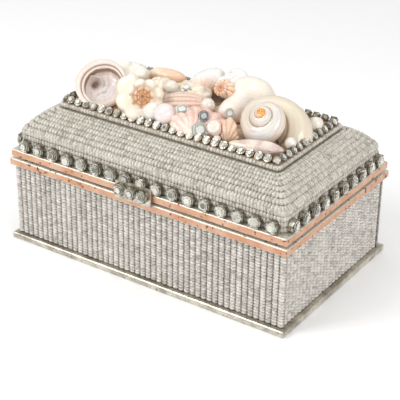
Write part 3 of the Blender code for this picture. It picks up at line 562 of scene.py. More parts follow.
def axes_matrix(side: Vector, axis: Vector, spot: Vector) -> Matrix:
    """Build the matrix that turns local X to the side, local Z to the axis, and moves to a spot.

    Args:
        side: direction of local X, made square to the axis.
        axis: direction of local Z.
        spot: place of the origin.

    Returns:
        The matrix.
    """
    up = Vector(axis).normalized()
    along = Vector(side)
    along = (along - up * along.dot(up)).normalized()
    across = up.cross(along)
    turn = Matrix((along, across, up)).transposed().to_4x4()
    return Matrix.Translation(spot) @ turn


def sorted_faces(pattern: bpy.types.Object) -> list[list[int]]:
    """List a mesh's faces in an order that stays the same from run to run, which operators don't promise.

    Args:
        pattern: object to read.

    Returns:
        The numbers of each face's corners.
    """
    loops = []
    for polygon in pattern.data.polygons:
        loop = list(polygon.vertices)
        first = loop.index(min(loop))
        loops.append(loop[first:] + loop[:first])
    return sorted(loops)


def stamp(name: str, pattern: bpy.types.Object, places: Sequence[Matrix], tints: Sequence[float],
          spread: float = 0.0) -> bpy.types.Object:
    """Copy a modelled pattern to many places as one mesh and remove the pattern.

    Args:
        name: name of the new piece.
        pattern: object whose mesh is copied.
        places: matrix of each copy.
        tints: tint of each copy, from zero to one.
        spread: how far single corners of a copy may stray from its tint.

    Returns:
        The new piece, at the origin and unturned.
    """
    corners, loops = coordinates(pattern), sorted_faces(pattern)
    smooth = pattern.data.polygons[0].use_smooth
    points, faces = [], []
    for index, place in enumerate(places):
        spin = np.array(place, float)
        points.append(corners @ spin[:3, :3].T + spin[:3, 3])
        faces.extend([number + index * len(corners) for number in loop] for loop in loops)
    mesh = bpy.data.meshes.new(name)
    mesh.from_pydata(np.concatenate(points).tolist(), [], faces)
    mesh.polygons.foreach_set("use_smooth", [smooth] * len(mesh.polygons))
    piece = add_to_scene(name, mesh)
    shared = len(corners) if smooth else len(loops)
    stray = np.random.default_rng(SEED).uniform(-spread, spread, len(places) * shared)
    note(piece, "tint", np.clip(np.repeat(tints, shared) + stray, 0, 1), "POINT" if smooth else "FACE")
    bpy.data.objects.remove(pattern, do_unlink=True)
    return piece


def hand_in(piece: bpy.types.Object, body: Body, finish: Finish, slot: str, *nodes: str) -> bpy.types.Object:
    """Dress a piece, let it ride on its body and stand for its nodes.

    Args:
        piece: finished mesh, at the origin and unturned.
        body: body that carries it.
        finish: finish that it gets.
        slot: not used.
        nodes: solids that it stands for.

    Returns:
        The same piece.
    """
    piece.data.materials.clear()
    piece.data.materials.append(finish.material())
    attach(piece, body.value)
    if nodes:
        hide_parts(*nodes)
    LOG.info("%s: %d vertices, rides on %s", piece.name, len(piece.data.vertices), body.value)
    return piece


def barrel_bead(hole_dimple: float, squareness: float) -> bpy.types.Object:
    """Model one bead of unit size whose thread hole runs along Z.

    Args:
        hole_dimple: how far the two ends are pressed in, as a share of the radius.
        squareness: exponent of the outline, two for round and more for a fuller barrel.

    Returns:
        The bead, a few dozen faces, shaded smooth.
    """
    bead = primitive(bpy.ops.mesh.primitive_uv_sphere_add, segments=8, ring_count=7, radius=1.0)
    bpy.ops.object.mode_set(mode="EDIT")
    bpy.ops.mesh.select_all(action="DESELECT")
    bpy.ops.object.mode_set(mode="OBJECT")
    for vertex in bead.data.vertices:
        vertex.select = abs(vertex.co.z) > 0.99
    bpy.ops.object.mode_set(mode="EDIT")
    bpy.ops.transform.resize(value=(1.0, 1.0, hole_dimple), center_override=(0.0, 0.0, 0.0))
    bpy.ops.object.mode_set(mode="OBJECT")
    points = coordinates(bead)
    width = np.hypot(points[:, 0], points[:, 1])
    fullness = (width ** squareness + np.abs(points[:, 2]) ** squareness) ** (-1 / squareness)
    fullness *= np.hypot(width, points[:, 2])
    reshape(bead, points * fullness[:, None])
    bpy.ops.object.shade_smooth()
    return bead


@dataclass
class BeadWalls:
    """Upright strands of clear beads on the four walls, over a silvered backing."""

    strand_pitch: float = 4.0 * MM
    bead_pitch: float = 1.9 * MM
    bead_depth: float = 3.0 * MM
    fullness: tuple[float, float] = (1.01, 1.10)
    jitter: float = 0.08 * MM
    tilt: float = 0.08
    tones: tuple[float, float] = (0.62, 0.78)
    stray: tuple[float, float] = (-0.25, 0.20)
    paper_share: float = 0.62

    def build(self) -> None:
        """Cover each side in turn."""
        for side in Side:
            self.cover(side)

    def cover(self, side: Side) -> None:
        """Stand the strands of one side in the place of its solid.

        Args:
            side: side of the box.
        """
        node = f"beading_{side.label}"
        low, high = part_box(node)
        long_axis = 0 if side in (Side.FRONT, Side.BACK) else 1
        length = high[long_axis] - low[long_axis]
        face = max(abs(low[1 - long_axis]), abs(high[1 - long_axis]))
        strands = round(length / self.strand_pitch)
        rows = round((high.z - low.z) / self.bead_pitch)
        pitch, step = length / strands, (high.z - low.z) / rows
        wide, tall = self.fullness
        size = Matrix.Diagonal((pitch / 2 * wide, self.bead_depth / 2, step / 2 * tall, 1.0))
        turn = Matrix.Rotation(side.value, 4, "Z")
        draw = np.random.default_rng(SEED)
        places, tints = [], []
        for strand in range(strands):
            tone = draw.uniform(*self.tones)
            for row in range(rows):
                shift = draw.uniform(-self.jitter, self.jitter, 3)
                spot = Vector((-length / 2 + (strand + 0.5) * pitch + shift[0],
                               -face + self.bead_depth / 2 + abs(shift[1]), low.z + (row + 0.5) * step))
                tilt = Matrix.Rotation(draw.uniform(-self.tilt, self.tilt), 4, "Y")
                places.append(turn @ Matrix.Translation(spot) @ tilt @ size)
                tints.append(min(1.0, max(0.0, tone + draw.uniform(*self.stray))))
        bead = barrel_bead(hole_dimple=0.8, squareness=2.8)
        # The corners of each bead stray from its tint: painted glints and dark reflections in the glass.
        beads = stamp(f"beads_{side.label}", bead, places, tints, spread=0.40)
        hand_in(beads, Body.BASE, CLEAR_BEADS, "clear_bead", node)
        self.back_with_paper(side, node, (length, face), (low.z, high.z))

    def back_with_paper(self, side: Side, node: str, plan: tuple[float, float],
                        levels: tuple[float, float]) -> None:
        """Lay the backing strip behind the strands of one side.

        Args:
            side: side of the box.
            node: solid that the strip helps to stand for.
            plan: length of the side, and distance of the strands' crests from the middle of the box.
            levels: lower and upper end of the strands.
        """
        length, face = plan
        foot, top = levels
        depth = (self.bead_depth * self.paper_share, self.bead_depth)
        strip = primitive(bpy.ops.mesh.primitive_cube_add, size=1.0)
        strip.name = f"backing_{side.label}"
        strip.scale = (length, depth[1] - depth[0], top - foot)
        strip.location = (0.0, -face + sum(depth) / 2, (foot + top) / 2)
        settle()
        strip.rotation_euler.z = side.value
        settle()
        # The strip's grey is painted shade between the strands.
        hand_in(strip, Body.BASE, BACKING, "board", node)


@dataclass
class Outline:
    """The lid's plan: a rectangle with rounded corners that shrinks up the slope."""

    foot_half: tuple[float, float]
    tier_half: tuple[float, float]
    foot: float
    shoulder: float
    tier_foot: float
    corner: float = 5.5 * MM

    def half(self, share: float) -> tuple[float, float]:
        """Give half length and half width at a share of the slope's run."""
        return tuple(foot + (tier - foot) * share for foot, tier in zip(self.foot_half, self.tier_half))

    def level(self, share: float) -> float:
        """Give the height of the rounded slope at a share of its run."""
        rise = math.sin(math.pi / 2 * share) * 0.85 + share * 0.15
        return self.shoulder + rise * (self.tier_foot - self.shoulder)


def ring_stations(half: tuple[float, float], corner: float, pitch: float,
                  start: float = 0.0) -> list[tuple[Vector, Vector, float]]:
    """Walk a rounded rectangle in equal steps.

    Args:
        half: half length and half width.
        corner: radius of its corners.
        pitch: wanted distance between two stations.
        start: share of a step by which the first station is moved on.

    Returns:
        Point, outward normal and real step length at each station, the point and normal level.
    """
    straight = (2 * (half[0] - corner), 2 * (half[1] - corner))
    arc = corner * math.pi / 2
    legs = [straight[0], arc, straight[1], arc] * 2
    count = max(4, round(sum(legs) / pitch))
    step = sum(legs) / count
    stations = []
    for index in range(count):
        distance = (index + start) * step % sum(legs)
        leg = 0
        while leg < 7 and distance > legs[leg]:
            distance -= legs[leg]
            leg += 1
        quarter = leg // 2
        reach = half if quarter % 2 == 0 else (half[1], half[0])
        if leg % 2 == 0:
            angle = 0.0
            point = Vector((distance - reach[0] + corner, -reach[1], 0.0))
        else:
            angle = distance / corner
            point = Vector((reach[0] - corner + corner * math.sin(angle),
                            -reach[1] + corner - corner * math.cos(angle), 0.0))
        normal = Vector((math.sin(angle), -math.cos(angle), 0.0))
        turn = Matrix.Rotation(quarter * math.pi / 2, 3, "Z")
        stations.append((turn @ point, turn @ normal, step))
    return stations


@dataclass
class LidBeads:
    """Rows of ivory beads threaded round the lid's skirt, its slopes and the tier's side."""

    bead_pitch: float = 2.2 * MM
    bead_depth: float = 2.6 * MM
    skirt_height: float = 13.0 * MM
    skirt_rows: int = 4
    slope_rows: int = 7
    fullness: tuple[float, float] = (1.16, 1.08)
    tilt: float = 0.06
    tones: tuple[float, float] = (0.5, 1.0)
    corner_loss: float = 0.35
    paper_share: float = 0.62

    def build(self) -> None:
        """Make the rows of the lid and the row of the tier."""
        low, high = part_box("lid_beading")
        tier_low, tier_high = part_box("tier_beading")
        lid = Outline((high.x, high.y), (tier_high.x, tier_high.y), low.z, low.z + self.skirt_height,
                      tier_low.z)
        rows = []
        row_height = self.skirt_height / self.skirt_rows
        for row in range(self.skirt_rows):
            rows.append((0.0, low.z + (row + 0.5) * row_height, row_height, 0.0))
        for row in range(self.slope_rows):
            share = (row + 0.5) / self.slope_rows
            ahead, behind = (row + 1) / self.slope_rows, row / self.slope_rows
            run = lid.half(behind)[1] - lid.half(ahead)[1]
            rise = lid.level(ahead) - lid.level(behind)
            rows.append((share, lid.level(share), math.hypot(run, rise), math.atan2(run, rise)))
        self.thread("beads_skirt", lid, rows[:self.skirt_rows], "lid_beading")
        self.thread("beads_slopes", lid, rows[self.skirt_rows:], "lid_beading")
        tier_row = (1.0, (tier_low.z + tier_high.z) / 2, tier_high.z - tier_low.z, 0.0)
        self.thread("beads_tier", lid, [tier_row], "tier_beading")
        self.line(lid)

    def thread(self, name: str, lid: Outline, rows: Sequence[tuple[float, float, float, float]],
               node: str) -> None:
        """Thread beads along rows that run round the lid.

        Args:
            name: name of the piece.
            lid: plan of the lid.
            rows: share of the run, level, bead height and lean back from upright of each row.
            node: solid that the rows stand for.
        """
        draw = np.random.default_rng(SEED)
        places, tints = [], []
        wide, long = self.fullness
        for share, level, height, lean in rows:
            corner = lid.corner * (1 - self.corner_loss * share)
            start = draw.uniform(0, 1)
            for point, normal, step in ring_stations(lid.half(share), corner, self.bead_pitch, start):
                outward = (normal * math.cos(lean) + Vector((0.0, 0.0, math.sin(lean)))).normalized()
                along = normal.cross(Vector((0.0, 0.0, 1.0)))
                spot = Vector((point.x, point.y, level)) - outward * self.bead_depth * 0.5
                place = axes_matrix(outward, along, spot)
                tilt = Matrix.Rotation(draw.uniform(-self.tilt, self.tilt), 4, "X")
                size = Matrix.Diagonal((self.bead_depth / 2, height / 2 * wide, step / 2 * long, 1.0))
                places.append(place @ tilt @ size)
                tints.append(draw.uniform(*self.tones))
        # The corners of each bead stray from its tint: painted glints on the milky glass.
        beads = stamp(name, barrel_bead(hole_dimple=0.7, squareness=3.0), places, tints, spread=0.45)
        hand_in(beads, Body.LID, IVORY_BEADS, "ivory_bead", node)

    def line(self, lid: Outline) -> None:
        """Lay the backing under the rows, a skin of rounded rectangles a little inside the beads.

        Args:
            lid: plan of the lid.
        """
        inset = self.bead_depth * self.paper_share
        shares = [0.0, 0.0, *[(row + 1) / self.slope_rows for row in range(self.slope_rows)]]
        levels = [lid.foot, *[lid.level(share) - inset * 0.5 for share in shares[1:]]]
        loops = []
        for share, level in zip(shares, levels):
            half = tuple(size - inset for size in lid.half(share))
            loops.append([Vector((point.x, point.y, level)) for point, _, _ in
                          ring_stations(half, lid.corner * 0.6, sum(half) * 4 / 96)])
        count = min(len(loop) for loop in loops)
        points = [point for loop in loops for point in loop[:count]]
        faces = []
        for ring in range(len(loops) - 1):
            for index in range(count):
                after = (index + 1) % count
                faces.append((ring * count + index, ring * count + after, (ring + 1) * count + after,
                              (ring + 1) * count + index))
        mesh = bpy.data.meshes.new("backing_lid")
        mesh.from_pydata(points, [], faces)
        skin = take(add_to_scene("backing_lid", mesh))
        apply_modifier(skin, "SOLIDIFY", thickness=0.8 * MM)
        # The skin's grey is painted shade between the rows.
        hand_in(skin, Body.LID, LID_BACKING, "board", "lid_beading")


# Width and rise of each step from the girdle of a stone up to its table and down to its point.
CROWN = ((0.84, 0.18), (0.54, 0.16), (0.22, 0.05))
PAVILION = ((0.55, 0.34), (0.08, 0.36))


def brilliant(sides: int = 8) -> bpy.types.Object:
    """Model one round cut stone of unit radius: table, star and main facets, girdle and pavilion.

    Args:
        sides: number of main facets.

    Returns:
        The stone, its table towards local X, shaded flat.
    """
    stone = primitive(bpy.ops.mesh.primitive_cylinder_add, vertices=sides * 2, radius=1.0, depth=0.12,
                      end_fill_type="NGON")
    origin = (0.0, 0.0, 0.0)
    for direction, steps in ((1.0, CROWN), (-1.0, PAVILION)):
        for polygon in stone.data.polygons:
            polygon.select = polygon.normal.z * direction > 0.9
        for vertex in stone.data.vertices:
            vertex.select = False
        for polygon in stone.data.polygons:
            if polygon.select:
                for number in polygon.vertices:
                    stone.data.vertices[number].select = True
        size = 1.0
        bpy.ops.object.mode_set(mode="EDIT")
        for width, rise in steps:
            bpy.ops.mesh.extrude_region_move(TRANSFORM_OT_translate={"value": (0.0, 0.0, rise * direction)})
            bpy.ops.transform.resize(value=(width / size, width / size, 1.0), center_override=origin)
            bpy.ops.transform.rotate(value=math.pi / sides / 2, orient_axis="Z", center_override=origin)
            size = width
        bpy.ops.object.mode_set(mode="OBJECT")
    stone.rotation_euler.y = math.pi / 2
    settle()
    bpy.ops.object.shade_flat()
    return stone


def cup(prongs: int = 4, depth: float = 0.75, wall: float = 0.10) -> bpy.types.Object:
    """Model one metal cup of unit radius that opens towards local X, with prongs bent over its edge.

    Args:
        prongs: number of prongs.
        depth: depth of the cup.
        wall: thickness of its wall.

    Returns:
        The cup, shaded flat.
    """
    shell = primitive(bpy.ops.mesh.primitive_cylinder_add, vertices=16, radius=1.0, depth=depth,
                      location=(0.0, 0.0, -depth / 2))
    settle()
    for vertex in shell.data.vertices:
        vertex.select = False
    for edge in shell.data.edges:
        edge.select = False
    for polygon in shell.data.polygons:
        polygon.select = polygon.normal.z > 0.9
    bpy.ops.object.mode_set(mode="EDIT")
    bpy.ops.mesh.inset(thickness=wall)
    bpy.ops.mesh.extrude_region_move(TRANSFORM_OT_translate={"value": (0.0, 0.0, -depth * 0.7)})
    bpy.ops.object.mode_set(mode="OBJECT")
    pieces = [shell]
    for index in range(prongs):
        angle = TURN * (index + 0.5) / prongs
        claw = primitive(bpy.ops.mesh.primitive_cube_add, size=1.0, rotation=(0.0, 0.0, angle),
                         location=(0.88 * math.cos(angle), 0.88 * math.sin(angle), 0.06))
        claw.scale = (0.30, 0.22, 0.26)
        pieces.append(claw)
    deselect()
    for piece in pieces:
        piece.select_set(True)
    bpy.context.view_layer.objects.active = shell
    bpy.ops.object.join()
    shell.rotation_euler.y = math.pi / 2
    settle()
    bpy.ops.object.shade_flat()
    return shell


def mirror_foil(sides: int = 8) -> bpy.types.Object:
    """Model the faceted foil behind a stone, a shallow cone of flat facets of unit radius.

    Args:
        sides: number of facets round the cone.

    Returns:
        The foil, which opens towards local X, shaded flat.
    """
    foil = primitive(bpy.ops.mesh.primitive_cone_add, vertices=sides * 2, radius1=0.30, radius2=0.93,
                     depth=0.42, location=(0.0, 0.0, -0.20), end_fill_type="TRIFAN")
    settle()
    foil.rotation_euler.y = math.pi / 2
    settle()
    bpy.ops.object.shade_flat()
    return foil


@dataclass
class CupSetStones:
    """Round cut stones, each in its own silvered cup."""

    name: str
    body: Body
    radius: float
    cup_depth: float
    places: list[Matrix]
    node: str
    slot: str = "crystal"
    stone_share: float = 0.90

    def build(self) -> None:
        """Make the cups, the foils and the stones of one row, one piece of each."""
        draw = np.random.default_rng(SEED)
        size = Matrix.Diagonal((self.cup_depth, self.radius, self.radius, 1.0))
        cups = stamp(f"cups_{self.name}", cup(depth=1.0), [place @ size for place in self.places],
                     [0.5] * len(self.places))
        hand_in(cups, self.body, CUPS, "nickel", self.node)
        stone_size = Matrix.Scale(self.radius * self.stone_share, 4)
        turned = [place @ Matrix.Rotation(draw.uniform(0, TURN), 4, "X") @ stone_size
                  for place in self.places]
        # Foil and stone get a tint on each facet that strays at random: painted reflections, bright on some
        # facets and dark on others.
        foils = stamp(f"foils_{self.name}", mirror_foil(), turned, [0.55] * len(turned), 0.5)
        hand_in(foils, self.body, FOIL, "nickel", self.node)
        stones = stamp(f"stones_{self.name}", brilliant(), turned, [0.72] * len(turned), 0.6)
        hand_in(stones, self.body, CRYSTAL, self.slot, self.node)


@dataclass
class LedgeStones:
    """Large cup-set stones that stand on the lid rim's ledge all round."""

    radius: float = 4.1 * MM
    pitch: float = 11.1 * MM
    deepest: float = 2.7 * MM

    def build(self) -> None:
        """Line up the stones of each side."""
        for side in Side:
            node = f"ledge_crystals_{side.label}"
            low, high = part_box(node)
            long_axis = 0 if side in (Side.FRONT, Side.BACK) else 1
            length = high[long_axis] - low[long_axis]
            face = max(abs(low[1 - long_axis]), abs(high[1 - long_axis]))
            count = round((length - 2 * self.radius) / self.pitch) + 1
            depth = min(high[1 - long_axis] - low[1 - long_axis], self.deepest)
            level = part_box("lid_rim")[1].z + self.radius
            turn = Matrix.Rotation(side.value, 4, "Z")
            draw = np.random.default_rng(SEED + count)
            places = []
            for index in range(count):
                spot = Vector(((index - (count - 1) / 2) * self.pitch, -face, level))
                facing = Vector((draw.uniform(-0.08, 0.08), -1.0, draw.uniform(0.0, 0.16)))
                places.append(turn @ axes_matrix(facing, Vector((1.0, 0.0, 0.0)).cross(facing), spot))
            CupSetStones(f"ledge_{side.label}", Body.LID, self.radius, depth, places, node).build()


@dataclass
class StoneChain:
    """Ring of small cup-set stones along the tier's edge."""

    pitch: float = 5.9 * MM
    radius: float = 2.45 * MM
    corner: float = 2.5 * MM
    lean_out: float = 1.1
    sunk: float = 0.2 * MM

    def build(self) -> None:
        """Walk the ring and set a stone at each station, facing up and out."""
        low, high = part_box("crystal_chain")
        half = (high.x - self.radius, high.y - self.radius)
        draw = np.random.default_rng(SEED)
        places = []
        for point, normal, _ in ring_stations(half, self.corner, self.pitch, 0.5):
            spot = Vector((point.x, point.y, high.z - self.sunk))
            facing = Vector((0.0, 0.0, 1.0)) + normal * self.lean_out
            facing += Vector((*draw.uniform(-0.1, 0.1, 2), 0.0))
            along = Vector((-normal.y, normal.x, 0.0))
            places.append(axes_matrix(facing, facing.cross(along), spot))
        CupSetStones("chain", Body.LID, self.radius, high.z - low.z, places, "crystal_chain").build()


@dataclass
class Clasp:
    """Three cup-set stones on the nickel tab that covers the seam."""

    radius: float = 4.0 * MM
    count: int = 3

    def build(self) -> None:
        """Set the three stones side by side on the tab."""
        low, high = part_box("clasp_crystals")
        pitch = (high.x - low.x) / self.count
        places = []
        for index in range(self.count):
            spot = Vector((low.x + (index + 0.5) * pitch, low.y, (low.z + high.z) / 2))
            places.append(axes_matrix(Vector((0.0, -1.0, 0.05)), Vector((0.0, 0.0, 1.0)), spot))
        CupSetStones("clasp", Body.LID, self.radius, high.y - low.y, places, "clasp_crystals").build()


@dataclass
class Frames:
    """The metal and board solids whose own shape is right and which only need their finish."""

    def build(self) -> None:
        """Give each solid its finish."""
        for name in ("base_rim", "lid_rim"):
            low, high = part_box(name)
            copper = CopperLeaf(f"copper_leaf_{name}", 0.42, 0.55, low=low.z, high=high.z)
            self.dress(name, copper)
        for name in ("bottom_plate", "clasp_plate", "hinge_leaf_base", "hinge_leaf_lid", "hinge_pin"):
            self.dress(name, NICKEL)
        for name in ("box_body", "lid_shell"):
            self.dress(name, LINING)
        self.dress("top_tier", TIER_GLUE)

    def dress(self, name: str, finish: Finish) -> None:
        """Put one finish on one solid.

        Args:
            name: node of the solid.
            finish: finish that it gets.
        """
        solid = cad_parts[name]
        solid.data.materials.clear()
        solid.data.materials.append(finish.material())
        LOG.info("%s keeps its shape, finish %s", name, finish.name)


def refined(node: str, name: str, levels: int = 2) -> bpy.types.Object:
    """Copy a solid as a welded, smoothly subdivided mesh that keeps its form.

    Args:
        node: solid to copy.
        name: name of the new piece.
        levels: rounds of subdivision.

    Returns:
        The new piece.
    """
    copy = take(add_to_scene(name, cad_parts[node].data.copy()))
    bpy.ops.object.mode_set(mode="EDIT")
    bpy.ops.mesh.select_all(action="SELECT")
    bpy.ops.mesh.remove_doubles(threshold=0.01 * MM)
    bpy.ops.mesh.tris_convert_to_quads()
    bpy.ops.mesh.mark_sharp(clear=True)
    bpy.ops.object.mode_set(mode="OBJECT")
    apply_modifier(copy, "SUBSURF", levels=levels)
    bpy.ops.object.shade_smooth()
    return copy


def raise_along_normals(piece: bpy.types.Object, heights: np.ndarray) -> None:
    """Move each vertex along its normal.

    Args:
        piece: mesh to carve.
        heights: height for each vertex.
    """
    normals = np.empty(len(piece.data.vertices) * 3, np.float32)
    piece.data.vertex_normals.foreach_get("vector", normals)
    reshape(piece, coordinates(piece) + normals.reshape(-1, 3) * heights[:, None])


def wave(points: np.ndarray, size_mm: float) -> np.ndarray:
    """Give a smooth noise for each point whose bumps are about a real size."""
    scale = 1 / (size_mm * MM)
    return np.array([noise.noise(Vector(point) * scale) for point in points])


def step_up(values: np.ndarray, low: float, high: float) -> np.ndarray:
    """Rise smoothly from zero at one value to one at another."""
    share = np.clip((values - low) / (high - low), 0, 1)
    return share * share * (3 - 2 * share)


def open_foot(shell: bpy.types.Object) -> None:
    """Remove the faces that lie flat on the tier, where nothing of the shell shows.

    Args:
        shell: shell whose vertices end at the tier.
    """
    take(shell)
    foot = [vertex.co.z < TIER_TOP + GAP * 1.01 for vertex in shell.data.vertices]
    for polygon in shell.data.polygons:
        polygon.select = all(foot[number] for number in polygon.vertices)
    bpy.ops.object.mode_set(mode="EDIT")
    bpy.ops.mesh.select_mode(type="FACE")
    bpy.ops.mesh.delete(type="ONLY_FACE")
    bpy.ops.mesh.select_mode(type="VERT")
    bpy.ops.object.mode_set(mode="OBJECT")


@dataclass
class CoiledShell:
    """A shell that grows round its spire as a tube, larger by the same factor with every turn."""

    node: str
    slot: str
    finish: Finish
    apex: Vector
    spire: tuple[float, float, float]
    side: tuple[float, float, float]
    reach: float
    tube: float
    drop: float
    growth: float
    flare: float = 0.0
    sink: float = 0.0
    flare_turns: float = 0.4
    overrun: float = 0.0
    # Width of the painted shade along the seam, and weight of the painted shade in the valleys.
    seam_width: float = 0.16
    valleys: float = 1.0
    rounded: float = 0.0
    turns: float = 4.0
    sides: int = 32
    steps_per_turn: int = 40
    relief: Callable[[np.ndarray, np.ndarray], np.ndarray] | None = None

    def build(self) -> None:
        """Grow the tube from the mouth back to the apex, carve it and hand it in."""
        shell = self.sweep()
        rings = np.arange(len(shell.data.vertices)) // self.sides
        back = rings / self.steps_per_turn - self.overrun
        scale = self.growth ** -back
        turn = TURN * back
        middle = np.stack([np.cos(turn) * self.reach * scale, np.sin(turn) * self.reach * scale,
                           -self.drop * scale], axis=1)
        arms = coordinates(shell) - middle
        late = 1 - step_up(back, 0.0, self.flare_turns)
        middle[:, :2] *= 1 + self.flare * late[:, None]
        middle[:, 2] -= self.sink * late + 2 * self.sink * np.maximum(-back, 0)
        arms *= 1 + self.flare * late[:, None]
        if self.rounded:
            blunt = np.clip(1 - (back + self.overrun) / self.rounded, 0, 1)
            arms *= np.sqrt(np.maximum(1 - blunt ** 2, 0.01))[:, None]
        outward = np.stack([np.cos(turn), np.sin(turn), np.zeros(len(turn))], axis=1)
        around = np.arctan2(arms[:, 2], (arms * outward).sum(axis=1))
        height = self.relief(back, around) if self.relief else np.zeros(len(back))
        arms = arms * (1 + height)[:, None]
        rows = np.array(axes_matrix(self.side, self.spire, self.apex), float)
        points = (middle + arms) @ rows[:3, :3].T + rows[:3, 3]
        points[:, 2] = np.maximum(points[:, 2], TIER_TOP + GAP)
        reshape(shell, points)
        open_foot(shell)
        note(shell, "growth", np.clip(1 - back / self.turns, 0, 1))
        note(shell, "around", around / math.pi)
        # Painted shade: darken the valleys of the relief and the seam where each whorl meets the one before.
        valley = 1 - step_up(height, height.min(), height.min() * 0.4 + height.max() * 0.6)
        seam_shade = np.exp(-((around - self.seam_angle()) / self.seam_width) ** 2) * (back < self.turns - 0.6)
        note(shell, "crease_shade", np.maximum(valley * self.valleys, seam_shade))
        shell.name = self.node.replace("shell_", "") + "_shell"
        bpy.ops.object.shade_smooth()
        hand_in(shell, Body.LID, self.finish, self.slot, self.node)

    def seam_angle(self) -> float:
        """Find where, round the tube, a whorl meets the one before it.

        Returns:
            Angle from the outside of the tube towards the apex, in radians.
        """
        apart = math.hypot(self.reach, self.drop) * (1 - 1 / self.growth)
        inner = self.tube / self.growth
        cosine = (self.tube ** 2 + apart ** 2 - inner ** 2) / (2 * self.tube * apart)
        return math.atan2(self.drop, -self.reach) - math.acos(max(-1.0, min(1.0, cosine)))

    def sweep(self) -> bpy.types.Object:
        """Extrude the mouth ring step by step, each time turned and shrunk about the apex.

        Returns:
            The tube, with its apex at the origin and its spire along Z.
        """
        ring = primitive(bpy.ops.mesh.primitive_circle_add, vertices=self.sides, radius=self.tube,
                         rotation=(math.pi / 2, 0.0, 0.0), location=(self.reach, 0.0, -self.drop))
        settle()
        ring.rotation_euler.z = -TURN * self.overrun
        ring.scale = (self.growth ** self.overrun,) * 3
        settle()
        shrink = self.growth ** (-1 / self.steps_per_turn)
        origin = (0.0, 0.0, 0.0)
        bpy.ops.object.mode_set(mode="EDIT")
        bpy.ops.mesh.select_all(action="SELECT")
        for _ in range(round((self.turns + self.overrun) * self.steps_per_turn)):
            bpy.ops.mesh.extrude_region_move(TRANSFORM_OT_translate={"value": origin})
            bpy.ops.transform.rotate(value=-TURN / self.steps_per_turn, orient_axis="Z",
                                     center_override=origin)
            bpy.ops.transform.resize(value=(shrink, shrink, shrink), center_override=origin)
        bpy.ops.mesh.edge_face_add()
        bpy.ops.object.mode_set(mode="OBJECT")
        return ring


def petals(count: float, height: float, width: float = 0.9, lean: float = 0.3) -> Callable:
    """Give a relief of rounded lobes that stand off the whorl's shoulder.

    Args:
        count: lobes in each turn.
        height: height of a lobe as a share of the tube's radius.
        width: how far a lobe reaches round the tube, in radians.
        lean: angle of the lobes' crest above the outside of the tube.

    Returns:
        The relief, from turns back and angle round the tube to a share of the radius.
    """
    def relief(back: np.ndarray, around: np.ndarray) -> np.ndarray:
        lobe = np.abs(np.cos(math.pi * count * back)) ** 0.7
        return height * lobe * np.exp(-((around - lean) / width) ** 2)

    return relief


def spiral_ridges(count: int, height: float) -> Callable:
    """Give a relief of fine ridges that run along the whorls.

    Args:
        count: ridges round the tube.
        height: height of a ridge as a share of the tube's radius.

    Returns:
        The relief, from turns back and angle round the tube to a share of the radius.
    """
    def relief(back: np.ndarray, around: np.ndarray) -> np.ndarray:
        return height * np.cos(count * around + 0.6 * np.sin(TURN * back))

    return relief


@dataclass
class FormedShell:
    """A shell, or part of one, that keeps its solid's form and gets finer relief."""

    node: str
    slot: str
    finish: Finish
    axis: tuple[float, float, float]
    ribs: float = 0.0
    rib_depth: float = 0.0
    hinge: tuple[float, float, float] | None = None
    lumps_mm: float = 0.0
    lump_depth: float = 0.0
    swell: float = 0.6 * MM
    grow: tuple[float, float, float] = (1.0, 1.0, 1.0)
    shift_mm: tuple[float, float, float] = (0.0, 0.0, 0.0)
    levels: int = 3

    def build(self) -> None:
        """Carve ribs and lumps into the smoothed solid and hand it in."""
        shell = refined(self.node, self.node.replace("shell_", "") + "_shell", self.levels)
        points = coordinates(shell)
        axis = np.array(Vector(self.axis).normalized())
        along = (points - points.mean(axis=0)) @ axis
        share = (along - along.min()) / np.ptp(along)
        heights = np.full(len(points), self.swell)
        crease_shade = np.zeros(len(points))
        if self.ribs:
            angle, fade = self.rib_angle(points, axis, share)
            ridge = np.cos(self.ribs * angle)
            heights += self.rib_depth * ridge * fade
            # Painted shade in the furrows between the ribs.
            crease_shade = step_up(-ridge, 0.2, 1.0) * fade
        if self.lump_depth:
            coarse, fine = wave(points, self.lumps_mm), wave(points, self.lumps_mm / 2)
            heights += self.lump_depth * (coarse + 0.5 * fine)
        raise_along_normals(shell, heights)
        carved = coordinates(shell)
        middle = carved.mean(axis=0)
        carved = middle + (carved - middle) * np.array(self.grow) + np.array(self.shift_mm) * MM
        carved[:, 2] = np.maximum(carved[:, 2], TIER_TOP + GAP)
        reshape(shell, carved)
        note(shell, "growth", share)
        note(shell, "crease_shade", crease_shade)
        hand_in(shell, Body.LID, self.finish, self.slot, self.node)

    def rib_angle(self, points: np.ndarray, axis: np.ndarray,
                  share: np.ndarray) -> tuple[np.ndarray, np.ndarray]:
        """Measure each point's angle across the ribs and how strong the ribs are there.

        Args:
            points: vertices of the shell.
            axis: direction in which the shell grows.
            share: place of each vertex along that direction, from zero to one.

        Returns:
            Angle in radians and strength from zero to one.
        """
        rows = np.array(axes_matrix(TOWARD, axis, Vector()), float)[:3, :3]
        if self.hinge is None:
            local = (points - points.mean(axis=0)) @ rows
            ends = step_up(share, 0.0, 0.2) * step_up(1 - share, 0.0, 0.15)
            return np.arctan2(local[:, 1], local[:, 0]), ends
        local = (points - np.array(within(self.node, *self.hinge))) @ rows
        reach = np.hypot(local[:, 1], local[:, 2])
        return np.arctan2(local[:, 1], local[:, 2]), step_up(reach, reach.max() * 0.1, reach.max() * 0.4)


